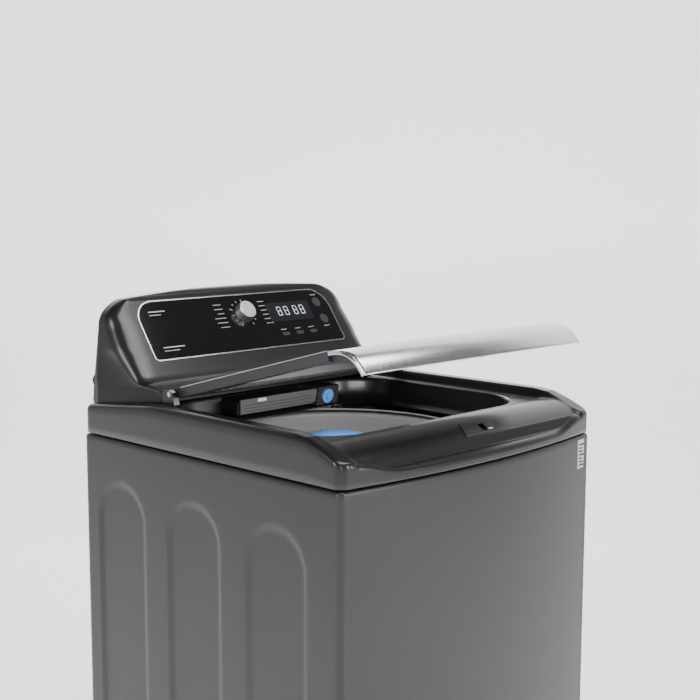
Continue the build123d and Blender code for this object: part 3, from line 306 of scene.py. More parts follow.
def cover_plastic():
    """Dark metallic satin plastic with a very fine grain."""
    plastic = Finish("cover_plastic", metallic=0.35, ior=1.5, coat_weight=0.35, coat_roughness=0.16)
    flakes = plastic.noise(3000, 2)
    clouds = plastic.noise(5, 2)
    plastic.feed("Base Color", plastic.tint(colours().cover, flakes * 0.6 + clouds * 0.4, 0.30))
    plastic.feed("Roughness", 0.30 + flakes * 0.05 + clouds * 0.06)
    return plastic.bump(plastic.noise(900, 2), 0.00002, 0.3).material


def grained_plastic(name, colour, rough=0.5, grain=1400, relief=0.00004):
    """Moulded plastic with a sparked grain and faint flow clouds."""
    plastic = Finish(name, ior=1.46)
    grains = plastic.noise(grain, 3)
    clouds = plastic.noise(9, 2)
    sharp_edges = edge_lightening(plastic)
    shade = plastic.tint(colour, grains * 0.5 + clouds * 0.5, 0.16)
    # sharp outer edges are blended a little lighter
    lighter = [min(1.0, part * 1.5 + 0.02) for part in colour]
    plastic.feed("Base Color", plastic.blend(sharp_edges * 0.35, shade, lighter))
    plastic.feed("Roughness", rough - 0.05 + grains * 0.12)
    return plastic.bump(grains, relief, 0.5).material


def silver_plate():
    """Satin silver plating with very fine lengthwise lines."""
    silver = Finish("silver_plate", metallic=1.0)
    lines = silver.noise(30, 3, (0.3, 9, 9))
    smudge = silver.noise(14, 3)
    silver.feed("Base Color", silver.tint(colours().silver, lines, 0.06))
    silver.feed("Roughness", 0.20 + lines * 0.05 + smudge * 0.06)
    return silver.bump(lines, 0.000001, 0.15).material


def gloss_panel():
    """Deep black gloss with barely seen ripple and dust."""
    panel = Finish("gloss_panel", ior=1.5, coat_weight=0.6, coat_roughness=0.03)
    dust = panel.noise(700, 4)
    panel.feed("Base Color", panel.tint(colours().gloss, dust, 0.4))
    panel.feed("Roughness", 0.05 + dust * 0.05)
    return panel.bump(panel.noise(26, 2), 0.00003, 0.2).material


GLASS_LINE_PITCH = 0.020


def smoked_glass():
    """Smoked glass with fine pale printed lines across it."""
    glass = Finish("smoked_glass", ior=1.5, roughness=0.04, coat_weight=0.4, coat_roughness=0.02)
    along = lid_distance(glass)
    phase = (along % GLASS_LINE_PITCH) / GLASS_LINE_PITCH
    near = abs(phase - 0.5) < 0.045
    inside = (abs(glass.axis("X")) < 0.250) * (along > 0.150) * (along < 0.350)
    broken = glass.noise(12, 2, (1.2, 9, 9)) > 0.42
    lines = near * inside * broken
    border = 1 - (abs(glass.axis("X")) < 0.256) * (along > 0.139) * (along < 0.386)
    glass.feed("Base Color", glass.blend(lines, colours().glass, (0.30, 0.30, 0.30)))
    glass.feed("Alpha", 0.62 + lines * 0.2 + border * 0.38)
    return glass.bump(glass.noise(9, 2), 0.00006, 0.15).material


def lid_distance(finish):
    """Distance forward from the hinge along the lid, for a point on the lid."""
    forward = LID_PLACE.to_3x3() @ Vector((0, -1, 0))
    ahead = finish.node(
        "ShaderNodeVectorMath",
        {"operation": "DOT_PRODUCT"},
        {0: finish.place(), 1: forward},
        output="Value",
    )
    return ahead - HINGE.dot(forward)


def brushed_metal(name, colour, rough=0.32, stretch=(30, 1, 1), relief=0.00001):
    """Metal with rolling or grinding lines."""
    metal = Finish(name, metallic=1.0)
    lines = metal.noise(70, 4, stretch)
    stains = metal.noise(6, 4)
    metal.feed("Base Color", metal.tint(colour, lines * 0.6 + stains * 0.4, 0.14))
    metal.feed("Roughness", rough - 0.06 + lines * 0.10 + stains * 0.06)
    return metal.bump(lines, relief, 0.5).material


def galvanised():
    """Zinc-coated sheet with its crystal spangle."""
    zinc = Finish("galvanised", metallic=0.9)
    wires = {"Vector": zinc.place(), "Scale": 90}
    cells = zinc.node("ShaderNodeTexVoronoi", {"feature": "F1"}, wires, output="Color")
    spangle = zinc.node("ShaderNodeSeparateColor", None, {0: cells}, output=0)
    dirt = zinc.noise(8, 4)
    zinc.feed("Base Color", zinc.tint((0.50, 0.51, 0.52), spangle * 0.7 + dirt * 0.3, 0.20))
    zinc.feed("Roughness", 0.32 + spangle * 0.18)
    return zinc.bump(spangle, 0.00001, 0.3).material


def rubber():
    """Matt black rubber with a dusty bloom."""
    skin = Finish("rubber", ior=1.5)
    dust = skin.noise(160, 5)
    skin.feed("Base Color", skin.blend(dust * 0.5, (0.012, 0.012, 0.012), (0.045, 0.044, 0.043)))
    skin.feed("Roughness", 0.72 + dust * 0.2)
    return skin.bump(dust, 0.0001, 0.5).material


def blue_gloss():
    """Glossy blue moulding with a faint swirl."""
    blue = Finish("blue_gloss", ior=1.46, coat_weight=0.3, coat_roughness=0.15)
    swirl = blue.noise(40, 3)
    blue.feed("Base Color", blue.tint(colours().blue, swirl, 0.12))
    blue.feed("Roughness", 0.26 + swirl * 0.08)
    return blue.bump(blue.noise(300, 2), 0.00002, 0.4).material


def winding():
    """Enamelled copper turns on laminated steel."""
    copper = Finish("winding", metallic=0.8)
    turns = (copper.axis("Z") % 0.0012) / 0.0012
    copper.feed("Base Color", copper.blend(turns, (0.20, 0.07, 0.02), (0.62, 0.30, 0.12)))
    copper.feed("Roughness", 0.30 + turns * 0.15)
    return copper.bump(turns, 0.0002, 0.8).material


def circuit_board():
    """Green solder mask with tinned pads."""
    board = Finish("circuit_board", ior=1.5)
    tracks = board.noise(120, 1, (1, 6, 6)) > 0.52
    board.feed("Base Color", board.blend(tracks, (0.012, 0.09, 0.035), (0.03, 0.16, 0.06)))
    board.feed("Roughness", 0.30 + tracks * 0.2)
    return board.bump(tracks, 0.00003, 0.5).material


def printed_mark(name, colour, glow=0.0):
    """Pale print or a lit sign behind the panel."""
    ink = Finish(name, roughness=0.4, emission_strength=glow)
    grain = ink.noise(900, 2)
    ink.feed("Base Color", ink.tint(colour, grain, 0.1))
    ink.feed("Emission Color", ink.tint(colour, grain, 0.05))
    return ink.material


def pale_floor():
    """Plain pale studio floor."""
    floor = Finish("pale_floor", roughness=0.9, emission_strength=1.15, emission_color=(1.0, 1.0, 1.0))
    cloud = floor.noise(1.5, 2)
    floor.feed("Base Color", floor.tint(colours().floor, cloud, 0.01))
    return floor.material


FINISHES = {}


def finish(name):
    """The named finish, made when it is first asked for."""
    makers = {
        "cabinet_paint": metallic_paint,
        "cover_plastic": cover_plastic,
        "silver_trim": silver_plate,
        "gloss_black": gloss_panel,
        "lid_glass": smoked_glass,
        "zinc_steel": galvanised,
        "rubber": rubber,
        "blue_plastic": blue_gloss,
        "winding": winding,
        "board": circuit_board,
        "floor": pale_floor,
        "black_plastic": lambda: grained_plastic("black_plastic", (0.014, 0.014, 0.015), 0.40),
        "dark_plastic": lambda: grained_plastic("dark_plastic", (0.022, 0.020, 0.020), 0.34),
        "grey_plastic": lambda: grained_plastic("grey_plastic", colours().grey, 0.40),
        "tub_plastic": lambda: grained_plastic("tub_plastic", (0.36, 0.37, 0.38), 0.55),
        "ring_plastic": lambda: grained_plastic("ring_plastic", (0.30, 0.30, 0.305), 0.36),
        "agitator_plastic": lambda: grained_plastic("agitator_plastic", (0.46, 0.47, 0.49), 0.36),
        "white_plastic": lambda: grained_plastic("white_plastic", (0.66, 0.66, 0.65), 0.45),
        "key_plastic": lambda: grained_plastic("key_plastic", (0.035, 0.035, 0.038), 0.25, relief=0.00001),
        "display_glass": lambda: grained_plastic(
            "display_glass", (0.010, 0.012, 0.015), 0.08, relief=0.000002
        ),
        "drum_steel": lambda: brushed_metal("drum_steel", colours().steel, 0.30, (1, 1, 26)),
        "shaft_steel": lambda: brushed_metal("shaft_steel", (0.52, 0.52, 0.53), 0.26, (1, 1, 30)),
        "dial_metal": lambda: brushed_metal("dial_metal", colours().silver, 0.34, (3, 3, 3), 0.000001),
        "cast_alloy": lambda: brushed_metal("cast_alloy", (0.56, 0.57, 0.58), 0.48, (2, 2, 2), 0.0002),
        "pale_print": lambda: printed_mark("pale_print", (0.52, 0.52, 0.53)),
        "lit_sign": lambda: printed_mark("lit_sign", (0.60, 0.72, 0.78), 0.9),
    }
    if name not in FINISHES:
        FINISHES[name] = makers[name]()
    return FINISHES[name]


# ---- mesh helpers -------------------------------------------------------------------------------
def piece(name, points, faces, finish_name, body, stands_for=(), smooth=True):
    """Makes one object from points and faces, finishes it and ties it to its body."""
    mesh = bpy.data.meshes.new(name)
    mesh.from_pydata([tuple(point) for point in points], [], faces)
    made = bpy.data.objects.new(name, mesh)
    bpy.context.scene.collection.objects.link(made)
    return dress(made, finish_name, body, stands_for, smooth)


def dress(made, finish_name, body, stands_for=(), smooth=True):
    """Cleans an object's mesh, finishes it, ties it to its body and hides the nodes it stands for."""
    work = bmesh.new()
    work.from_mesh(made.data)
    bmesh.ops.remove_doubles(work, verts=work.verts, dist=1e-6)
    bmesh.ops.dissolve_degenerate(work, edges=work.edges, dist=1e-7)
    bmesh.ops.recalc_face_normals(work, faces=work.faces)
    work.to_mesh(made.data)
    work.free()
    made.data.materials.append(finish(finish_name))
    for polygon in made.data.polygons:
        polygon.use_smooth = smooth
    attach(made, body)
    if stands_for:
        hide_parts(*stands_for)
    return made


def modifier(made, kind, **settings):
    """Adds a modifier with its settings."""
    added = made.modifiers.new(kind.title(), kind)
    for name, value in settings.items():
        setattr(added, name, value)
    return made


def crisp(made, width, segments=3, angle=0.6):
    """Rounds the sharp edges and keeps flat faces flat in the light."""
    modifier(made, "BEVEL", width=width, segments=segments, limit_method="ANGLE", angle_limit=angle)
    return modifier(made, "WEIGHTED_NORMAL", keep_sharp=False)


def grid_faces(rows, columns, closed=True):
    """Quads between rows of points, each row closed on itself or open."""
    last = columns if closed else columns - 1
    return [
        (
            row * columns + spot,
            row * columns + (spot + 1) % columns,
            (row + 1) * columns + (spot + 1) % columns,
            (row + 1) * columns + spot,
        )
        for row in range(rows - 1)
        for spot in range(last)
    ]


def smooth_step(value):
    """0 below 0, 1 above 1, and an easy curve between."""
    value = max(0.0, min(1.0, value))
    return value * value * (3 - 2 * value)


def lathe(name, profile, centre, turns, finish_name, body, stands_for=()):
    """A turned piece: (radius, height) points swept round an upright axis."""
    points = [
        (
            centre[0] + radius * math.cos(2 * math.pi * turn / turns),
            centre[1] + radius * math.sin(2 * math.pi * turn / turns),
            height,
        )
        for radius, height in profile
        for turn in range(turns)
    ]
    return piece(name, points, grid_faces(len(profile), turns), finish_name, body, stands_for)


def block(work, low, high, place=Matrix.Identity(4)):
    """Adds a box between two corners to a bmesh."""
    corners = [
        work.verts.new(place @ Vector((x, y, z)))
        for x in (low[0], high[0])
        for y in (low[1], high[1])
        for z in (low[2], high[2])
    ]
    for face in ((0, 1, 3, 2), (4, 6, 7, 5), (0, 4, 5, 1), (2, 3, 7, 6), (0, 2, 6, 4), (1, 5, 7, 3)):
        work.faces.new([corners[spot] for spot in face])


def prism(work, outline, low, high, place=Matrix.Identity(4)):
    """Adds a flat outline, raised from low to high, to a bmesh."""
    under = [work.verts.new(place @ Vector((x, y, low))) for x, y in outline]
    over = [work.verts.new(place @ Vector((x, y, high))) for x, y in outline]
    work.faces.new(over)
    work.faces.new(list(reversed(under)))
    for spot in range(len(outline)):
        after = (spot + 1) % len(outline)
        work.faces.new((under[spot], under[after], over[after], over[spot]))


def from_bmesh(work, name, finish_name, body, stands_for=(), smooth=True):
    """Turns a bmesh into a finished piece."""
    mesh = bpy.data.meshes.new(name)
    work.to_mesh(mesh)
    work.free()
    made = bpy.data.objects.new(name, mesh)
    bpy.context.scene.collection.objects.link(made)
    return dress(made, finish_name, body, stands_for, smooth)


def round_oblong(half_x, half_y, radius, steps=6, centre=(0, 0)):
    """Outline of an oblong with round corners, anticlockwise."""
    outline = []
    for corner, (sign_x, sign_y) in enumerate(((1, 1), (-1, 1), (-1, -1), (1, -1))):
        for step in range(steps + 1):
            angle = math.pi / 2 * (corner + step / steps)
            x = sign_x * (half_x - radius) + radius * math.cos(angle)
            y = sign_y * (half_y - radius) + radius * math.sin(angle)
            outline.append((centre[0] + x, centre[1] + y))
    return outline


# The middle of the console's sloping face: its depth and height.
FACE_Y = 0.2955
FACE_Z = 1.085
FACE_PLACE = Matrix(
    (
        (1, FACE_UP.x, FACE_NORMAL.x, 0),
        (0, FACE_UP.y, FACE_NORMAL.y, FACE_Y),
        (0, FACE_UP.z, FACE_NORMAL.z, FACE_Z),
        (0, 0, 0, 1),
    )
)


# ---- cabinet ------------------------------------------------------------------------------------
ARCHES = 3
ARCH_BLEND = 0.007


def front_line(x, inset=0.0):
    """Depth of the bowed front, drawn in by inset, at a place across it."""
    return FRONT + inset + sizes().bow * (x / HALF) ** 2


def arch_depth(y, z):
    """How far the side is pressed in at a point: arches, round above, with square feet."""
    sized = sizes()
    top = SKIRT - sized.arch_top
    radius = sized.arch_width / 2
    depth = 0.0
    for number in range(ARCHES):
        middle = SHELL_HIGH.y - sized.arch_inset - radius - number * (sized.arch_width + sized.arch_gap)
        across = abs(y - middle)
        if z > top - radius:
            away = radius - math.hypot(across, z - top + radius)
        else:
            away = min(radius - across, z - sized.arch_foot)
        depth = max(depth, smooth_step(away / ARCH_BLEND + 0.5))
    return depth * sized.arch_depth


def cabinet():
    """The wrapped steel sheet: side, bowed front and side, with arches pressed in its sides."""
    low, high = SHELL_LOW, SHELL_HIGH
    rows = [(0.012, low.z), (0.0012, low.z + 0.0004), (0.0, low.z + 0.003)]
    steps = 118
    edge = 0.006
    top = high.z - edge
    rows += [(0.0, low.z + 0.003 + (top - low.z - 0.003) * step / steps) for step in range(1, steps + 1)]
    turns = (0.5, 1.0, math.pi / 2)
    rows += [(edge - edge * math.cos(turn), top + edge * math.sin(turn)) for turn in turns]
    rows.append((0.016, high.z))
    path = []
    side = 124
    radius = 0.012
    turned = front_line(HALF - radius) + radius
    for step in range(side):
        path.append((-HALF, high.y + (turned - high.y) * step / side, -1.0, 0.0))
    for step in range(9):
        angle = math.pi / 2 * step / 9
        path.append(
            (
                -HALF + radius - radius * math.cos(angle),
                turned - radius * math.sin(angle),
                -math.cos(angle),
                -math.sin(angle),
            )
        )
    middle = [-(HALF - radius) + 2 * (HALF - radius) * step / 60 for step in range(61)]
    path += [(x, front_line(x), 0.0, -1.0) for x in middle]
    path += [(-x, y, -nx, ny) for x, y, nx, ny in reversed(path[: side + 9])]
    points = []
    for inset, z in rows:
        for x, y, nx, ny in path:
            pressed = arch_depth(y, z) if abs(x) > HALF - 1e-4 else 0.0
            points.append((x - nx * (inset + pressed), y - ny * inset, z))
    faces = grid_faces(len(rows), len(path), closed=False)
    made = piece("cabinet_wrap", points, faces, "cabinet_paint", "cabinet", stands_for=("cabinet_shell",))
    modifier(made, "SOLIDIFY", thickness=0.0008, offset=-1.0)
    return made


# ---- top cover ----------------------------------------------------------------------------------
# Depths at which the landing's ledge ends, its crest begins, its slope ends and its channel is reached.
LEDGE_END = -0.2385
CREST = -0.2505
SLOPE_END = -0.326
CHANNEL = -0.339
# The recess round the landing and the well: half its width and depth, its corners and its middle.
RECESS_HALF = (0.300, 0.368)
RECESS_RADIUS = 0.030
RECESS_Y = -0.132


def circle_height(y):
    """Height of the landing's rounded slope at depth y: the arc through three of its points."""
    (y1, z1), (y2, z2), (y3, z3) = (CREST, 0.926), (-0.303, 0.919), (SLOPE_END, 0.905)
    d = 2 * (y1 * (z2 - z3) + y2 * (z3 - z1) + y3 * (z1 - z2))
    s1, s2, s3 = y1 * y1 + z1 * z1, y2 * y2 + z2 * z2, y3 * y3 + z3 * z3
    cy = (s1 * (z2 - z3) + s2 * (z3 - z1) + s3 * (z1 - z2)) / d
    cz = (s1 * (y3 - y2) + s2 * (y1 - y3) + s3 * (y2 - y1)) / d
    return cz + math.sqrt(max(0.0, (y1 - cy) ** 2 + (z1 - cz) ** 2 - (y - cy) ** 2))


def landing_height(y):
    """Height of the landing in front of the well: ledge, crest, slope and channel."""
    if y > LEDGE_END:
        return 0.924
    if y > CREST:
        return 0.924 + 0.002 * smooth_step((LEDGE_END - y) / 0.012)
    if y > SLOPE_END:
        return circle_height(y)
    if y > CHANNEL:
        return 0.905 - 0.018 * smooth_step((SLOPE_END - y) / 0.013)
    return 0.887


def deck_height(y):
    """Height of the deck and shoulders: level, sloping in front and dipping behind."""
    slope = 0.443 * max(0.0, -0.2525 - y)
    ease = 0.012 * math.exp(-(((y + 0.2525) / 0.022) ** 2)) * 0.25
    dip = max(0.0, y - 0.1445) * 0.1024
    return DECK - slope - ease - dip


def cover_height(x, y):
    """Height of the cover's upper side at a point."""
    reach_x = abs(x) - (RECESS_HALF[0] - RECESS_RADIUS)
    reach_y = abs(y - RECESS_Y) - (RECESS_HALF[1] - RECESS_RADIUS)
    outside = math.hypot(max(reach_x, 0.0), max(reach_y, 0.0)) + min(max(reach_x, reach_y), 0.0)
    outside -= RECESS_RADIUS
    inside = smooth_step(0.5 - (outside - 0.0065) / 0.016)
    deck = deck_height(y)
    low = min(deck, landing_height(y))
    return deck * (1 - inside) + low * inside


def outer_loop(inset):
    """Outline of the cover drawn in by inset, from the left rear corner round the front."""
    half = HALF - inset
    front_radius = 0.020 - inset * 0.5
    turned = front_line(half - front_radius, inset) + front_radius
    back = BACK - inset
    rear_radius = 0.010
    left = [(-half, back - rear_radius + (turned - back + rear_radius) * step / 96) for step in range(96)]
    for step in range(24):
        angle = math.pi / 2 * step / 24
        left.append((-half + front_radius * (1 - math.cos(angle)), turned - front_radius * math.sin(angle)))
    span = half - front_radius
    spots = []
    for step in range(261):
        share = step / 130 - 1
        spots.append(span * (share + 0.16 * math.sin(math.pi * share)) if abs(share) < 1 else span * share)
    front = [(x, front_line(x, inset)) for x in spots]
    right = [(-x, y) for x, y in reversed(left)]
    span = half - rear_radius
    rear = [
        (span + rear_radius * math.cos(turn), back - rear_radius + rear_radius * math.sin(turn))
        for turn in (0.5, 1.0, 1.5707)
    ]
    rear += [(span - 2 * span * step / 64, back) for step in range(1, 65)]
    rear += [
        (-span + rear_radius * math.cos(turn), back - rear_radius + rear_radius * math.sin(turn))
        for turn in (2.07, 2.64)
    ]
    return [Vector(point) for point in left + front + right + rear]


def top_cover():
    """The whole top cover: skirt, rolled edge, shoulders, landing and the well's wall."""
    roll = 0.011
    rim = outer_loop(0.0)
    points = []
    rows = 0
    for inset, z in ((0.004, SKIRT), (0.0012, SKIRT + 0.0006), (0.0, SKIRT + 0.002)):
        points += [(x, y, z) for x, y in outer_loop(inset)]
        rows += 1
    tops = [cover_height(x, y) for x, y in outer_loop(roll)]
    for share in (0.25, 0.5, 0.75, 1.0):
        points += [
            (point.x, point.y, SKIRT + 0.002 + (top - roll - SKIRT - 0.002) * share)
            for point, top in zip(rim, tops)
        ]
        rows += 1
    for turn in (0.2, 0.4, 0.6, 0.8, 1.0):
        angle = math.pi / 2 * turn
        inset = roll * (1 - math.cos(angle))
        points += [
            (x, y, top - roll + roll * math.sin(angle)) for (x, y), top in zip(outer_loop(inset), tops)
        ]
        rows += 1
    start = outer_loop(roll)
    facing = [well_facing(point, 0.0) for point in start]
    steps = 84
    for step in range(1, steps + 1):
        share = step / steps
        for point, target in zip(start, facing):
            x, y = point.lerp(target, share)
            points.append((x, y, cover_height(x, y)))
        rows += 1
    wall = ((0.0012, 0.9228), (0.0030, 0.9205), (0.0036, 0.9160), (0.0050, 0.9080), (0.0068, 0.8990))
    wall += ((0.0100, 0.8910), (0.0160, 0.8840), (0.0250, 0.8795), (0.0350, 0.8772), (0.0360, 0.8758))
    for inset, z in wall:
        points += [(*well_facing(point, inset), z) for point in start]
        rows += 1
    columns = len(start)
    faces = []
    for face in grid_faces(rows, columns):
        middle = sum((Vector(points[corner]) for corner in face), Vector()) / 4
        over_lock = 0.0245 < middle.x < 0.0395 and -0.3205 < middle.y < -0.3055
        over_drawer = -0.112 < middle.x < 0.100 and 0.180 < middle.y < 0.223 and 0.890 < middle.z < 0.9215
        if not (over_lock or over_drawer):
            faces.append(face)
    return piece("cover_skin", points, faces, "cover_plastic", "cabinet", stands_for=("top_cover",))


def well_facing(point, inset):
    """The well's edge in the direction of a point, from the middle of the well."""
    middle = Vector((0.0, -0.008))
    half = Vector((0.286 - inset, 0.230 - inset))
    radius = 0.105 - inset
    ray = (point - middle).normalized()
    low, high = 0.0, 0.6
    for _ in range(26):
        guess = (low + high) / 2
        here = Vector((abs(ray.x), abs(ray.y))) * guess - half + Vector((radius, radius))
        outside = math.hypot(max(here.x, 0.0), max(here.y, 0.0)) + min(max(here.x, here.y), 0.0) - radius
        if outside > 0:
            high = guess
        else:
            low = guess
    return middle + ray * low


# ---- console ------------------------------------------------------------------------------------
FACE_SLOPE = math.radians(54)


def face_line(z):
    """Depth of the console's sloping face at a height."""
    return FACE_Y - (FACE_Z - z) / math.tan(FACE_SLOPE)


def crown_half(z):
    """Half width of the console at a height: tapered cheeks and a curved crown."""
    if z <= 1.070:
        return 0.334 - (z - 0.900) * 0.119
    if z <= 1.122:
        share = (z - 1.070) / 0.052
        return 0.238 + 0.0758 * math.sqrt(max(0.0, 1 - share * share))
    return 0.238 * math.sqrt(max(0.0, 1 - (z - 1.122) / 0.008))


def console():
    """The console's shell: eave, sloping face, crown and flared, rounded cheeks."""
    profile = [(0.150, 0.942, 0.010), (0.150, 0.948, 0.012), (0.150, 0.954, 0.014)]
    profile += [(0.1515, 0.9580, 0.016), (0.155, 0.9605, 0.018), (0.166, 0.9622, 0.020)]
    profile += [(0.180, 0.9642, 0.022), (0.192, 0.9656, 0.024), (0.204, 0.9680, 0.026)]
    profile.append((0.2125, 0.9722, 0.028))
    for step in range(1, 27):
        z = 0.978 + (1.116 - 0.978) * step / 26
        radius = 0.028 + 0.010 * min(1.0, step / 6) - 0.024 * smooth_step((z - 1.065) / 0.051)
        profile.append((face_line(z), z, radius))
    turns = 22
    for step in range(1, turns + 1):
        z = 1.116 + 0.014 * math.sin(math.pi / 2 * step / turns)
        depth = 0.318 + 0.019 * (1 - math.cos(math.pi / 2 * step / turns)) ** 0.8
        profile.append((depth, z, 0.012 * (1 - step / turns) + 0.0015))
    points = []
    across, turn_steps, deep = 40, 10, 12
    for depth, z, radius in profile:
        plan = 0.301 + (depth - 0.150) * 0.1704
        front_half = max(0.002, min(plan, crown_half(z)))
        rear_half = max(0.002, min(0.301 + (0.341 - 0.150) * 0.1704, crown_half(z)))
        radius = min(radius, front_half * 0.5, (0.341 - depth) * 0.7)
        loop = []
        for step in range(across + 1):
            loop.append((-front_half + radius + 2 * (front_half - radius) * step / across, depth))
        for step in range(1, turn_steps + 1):
            angle = math.pi / 2 * step / turn_steps
            x = front_half - radius + radius * math.sin(angle)
            loop.append((x, depth + radius - radius * math.cos(angle)))
        for step in range(1, deep + 1):
            share = step / deep
            y = depth + radius + (0.341 - depth - radius) * share
            loop.append((front_half + (rear_half - front_half) * share, y))
        loop += [(rear_half - 2 * rear_half * step / across, 0.341) for step in range(1, across)]
        loop += [(-x, y) for x, y in reversed(loop[across + 1 : across + 1 + turn_steps + deep])]
        for x, y in loop:
            height = z if z > 0.9425 else deck_height(y) + 0.0002
            points.append((x, y, height))
    columns = len(points) // len(profile)
    faces = grid_faces(len(profile), columns)
    last = len(points) - columns
    faces.append(tuple(range(last, last + columns)))
    return piece("console_shell", points, faces, "cover_plastic", "cabinet", stands_for=("console_housing",))


INK = 0.0001


def mark(work, low, high, proud, place=FACE_PLACE):
    """Adds one thin printed bar between two corners, standing proud of the panel."""
    block(work, (*low, proud), (*high, proud + INK), place)


def panel_marks():
    """Plain printed bars, ticks round the dial and lit bars in the window."""
    printed = bmesh.new()
    lit = bmesh.new()
    proud = 0.00105
    for number in range(12):
        angle = math.radians(150 - 300 * number / 11)
        turn = Matrix.Translation((0.006, -0.014, 0)) @ Matrix.Rotation(angle, 4, "Z")
        length = 0.0045 if number % 3 else 0.0075
        mark(printed, (-0.0006, 0.0265), (0.0006, 0.0265 + length), proud, FACE_PLACE @ turn)
    chance = random.Random(4)
    for row in range(6):
        for side in (-1, 1):
            width = chance.uniform(0.016, 0.030)
            left = 0.006 + side * 0.050 - (width if side < 0 else 0)
            height = 0.010 - row * 0.0105
            mark(printed, (left, height), (left + width, height + 0.0013), proud)
    for row, width in ((0.006, 0.040), (-0.074, 0.052)):
        mark(printed, (-0.228, row), (-0.228 + width, row + 0.0022), proud)
        mark(printed, (-0.228, row - 0.007), (-0.228 + width * 0.7, row - 0.0056), proud)
    for spot in (0.094, 0.134, 0.174):
        mark(printed, (spot - 0.008, -0.0612), (spot + 0.008, -0.0600), proud)
    for spot in (0.016, -0.062):
        mark(printed, (0.214, spot), (0.230, spot + 0.0012), proud)
    top = 0.00125
    for column in range(4):
        left = 0.100 + column * 0.020 + (0.006 if column > 1 else 0)
        for low_x, low_y, wide, tall in (
            (0.001, 0.000, 0.009, 0.0012),
            (0.001, -0.010, 0.009, 0.0012),
            (0.001, -0.020, 0.009, 0.0012),
            (0.000, -0.0095, 0.0012, 0.009),
            (0.0100, -0.0095, 0.0012, 0.009),
            (0.000, -0.0195, 0.0012, 0.009),
            (0.0100, -0.0195, 0.0012, 0.009),
        ):
            mark(lit, (left + low_x, low_y - 0.007), (left + low_x + wide, low_y + tall - 0.007), top)
    from_bmesh(printed, "panel_print", "pale_print", "cabinet", smooth=False)
    from_bmesh(lit, "window_sign", "lit_sign", "cabinet", smooth=False)


# ---- lid ----------------------------------------------------------------------------------------
# The handle's bow, seen from above, and the line that its profile is measured outwards from.
BOW_RADIUS = (0.297**2 + 0.022**2) / 0.044
BOW_CENTRE = BOW_RADIUS - 0.498
PANEL_RADIUS = BOW_RADIUS - 0.070


def lid_point(x, radius, z):
    """A point of the bowed handle: across, out from the bow's centre, above the lid's pin."""
    y = BOW_CENTRE - math.sqrt(max(0.0, radius * radius - x * x))
    return LID_PLACE @ Vector((x, y, z))


# The handle's section: distance outwards and height above the lid's pin.
HANDLE_PROFILE = (
    (0.000, 0.0076),
    (0.010, 0.0070),
    (0.022, 0.0046),
    (0.034, 0.0006),
    (0.044, -0.0050),
    (0.0515, -0.0115),
    (0.0570, -0.0185),
    (0.0615, -0.0265),
    (0.0650, -0.0345),
    (0.0668, -0.0400),
    (0.0664, -0.0416),
    (0.0650, -0.0418),
    (0.0636, -0.0402),
    (0.0612, -0.0335),
    (0.0575, -0.0255),
    (0.0530, -0.0180),
    (0.0470, -0.0110),
    (0.0400, -0.0052),
    (0.0300, 0.0000),
    (0.0180, 0.0030),
    (0.0080, 0.0040),
    (0.000, 0.0042),
)


def handle_strip(name, stations, finish_name, node):
    """One bowed strip of the handle between across-positions."""
    points = [lid_point(x, PANEL_RADIUS + out, z) for x in stations for out, z in HANDLE_PROFILE]
    columns = len(HANDLE_PROFILE)
    faces = grid_faces(len(stations), columns)
    faces.append(tuple(range(columns)))
    faces.append(tuple(range(len(points) - columns, len(points))))
    made = piece(name, points, faces, finish_name, "lid", (node,) if node else ())
    return modifier(made, "WEIGHTED_NORMAL", keep_sharp=False)


def handle():
    """The plated handle and its two end caps."""
    stations = [-0.2936 + 0.5872 * step / 64 for step in range(65)]
    handle_strip("handle_skin", stations, "silver_trim", "lid_handle")
    work = bmesh.new()
    for side in (-1, 1):
        loops = []
        for across, shrink in ((0.2938, 1.0), (0.2952, 1.0), (0.2962, 0.97), (0.2967, 0.90)):
            loop = []
            for out, z in HANDLE_PROFILE:
                under = 0.0 if z > 0.0042 or out > 0.0664 else -0.0035
                thick = z + under * (1 if abs(z + 0.0418) > 0.0005 else 0)
                pivot = Vector((0.034, -0.010))
                flat = pivot + (Vector((out, thick)) - pivot) * (1 - (1 - shrink) * 0.12)
                loop.append(work.verts.new(lid_point(side * across, PANEL_RADIUS + flat.x, flat.y)))
            loops.append(loop)
        for near, far in zip(loops, loops[1:]):
            for spot in range(len(near)):
                after = (spot + 1) % len(near)
                work.faces.new((near[spot], near[after], far[after], far[spot]))
        work.faces.new(loops[0])
        work.faces.new(loops[-1])
    caps = from_bmesh(work, "handle_caps", "silver_trim", "lid", stands_for=("handle_end_caps",))
    modifier(caps, "WEIGHTED_NORMAL", keep_sharp=False)
    lines = bmesh.new()
    for side in (-1, 1):
        middle = side * 0.2955
        block(lines, (middle - 0.0013, -0.404, 0.0076), (middle + 0.0013, -0.02, 0.0090), LID_PLACE)
    from_bmesh(lines, "lid_edge_lines", "silver_trim", "lid", smooth=False)


def lid_underside():
    """Moulded ribs under the lid frame's front band."""
    work = bmesh.new()
    for number in range(5):
        y = -0.128 + number * 0.022
        block(work, (-0.240, y - 0.0009, -0.0098), (0.240, y + 0.0009, -0.0088), LID_PLACE)
    ribs = from_bmesh(work, "lid_ribs", "black_plastic", "lid", smooth=False)
    crisp(ribs, 0.0003, 2)


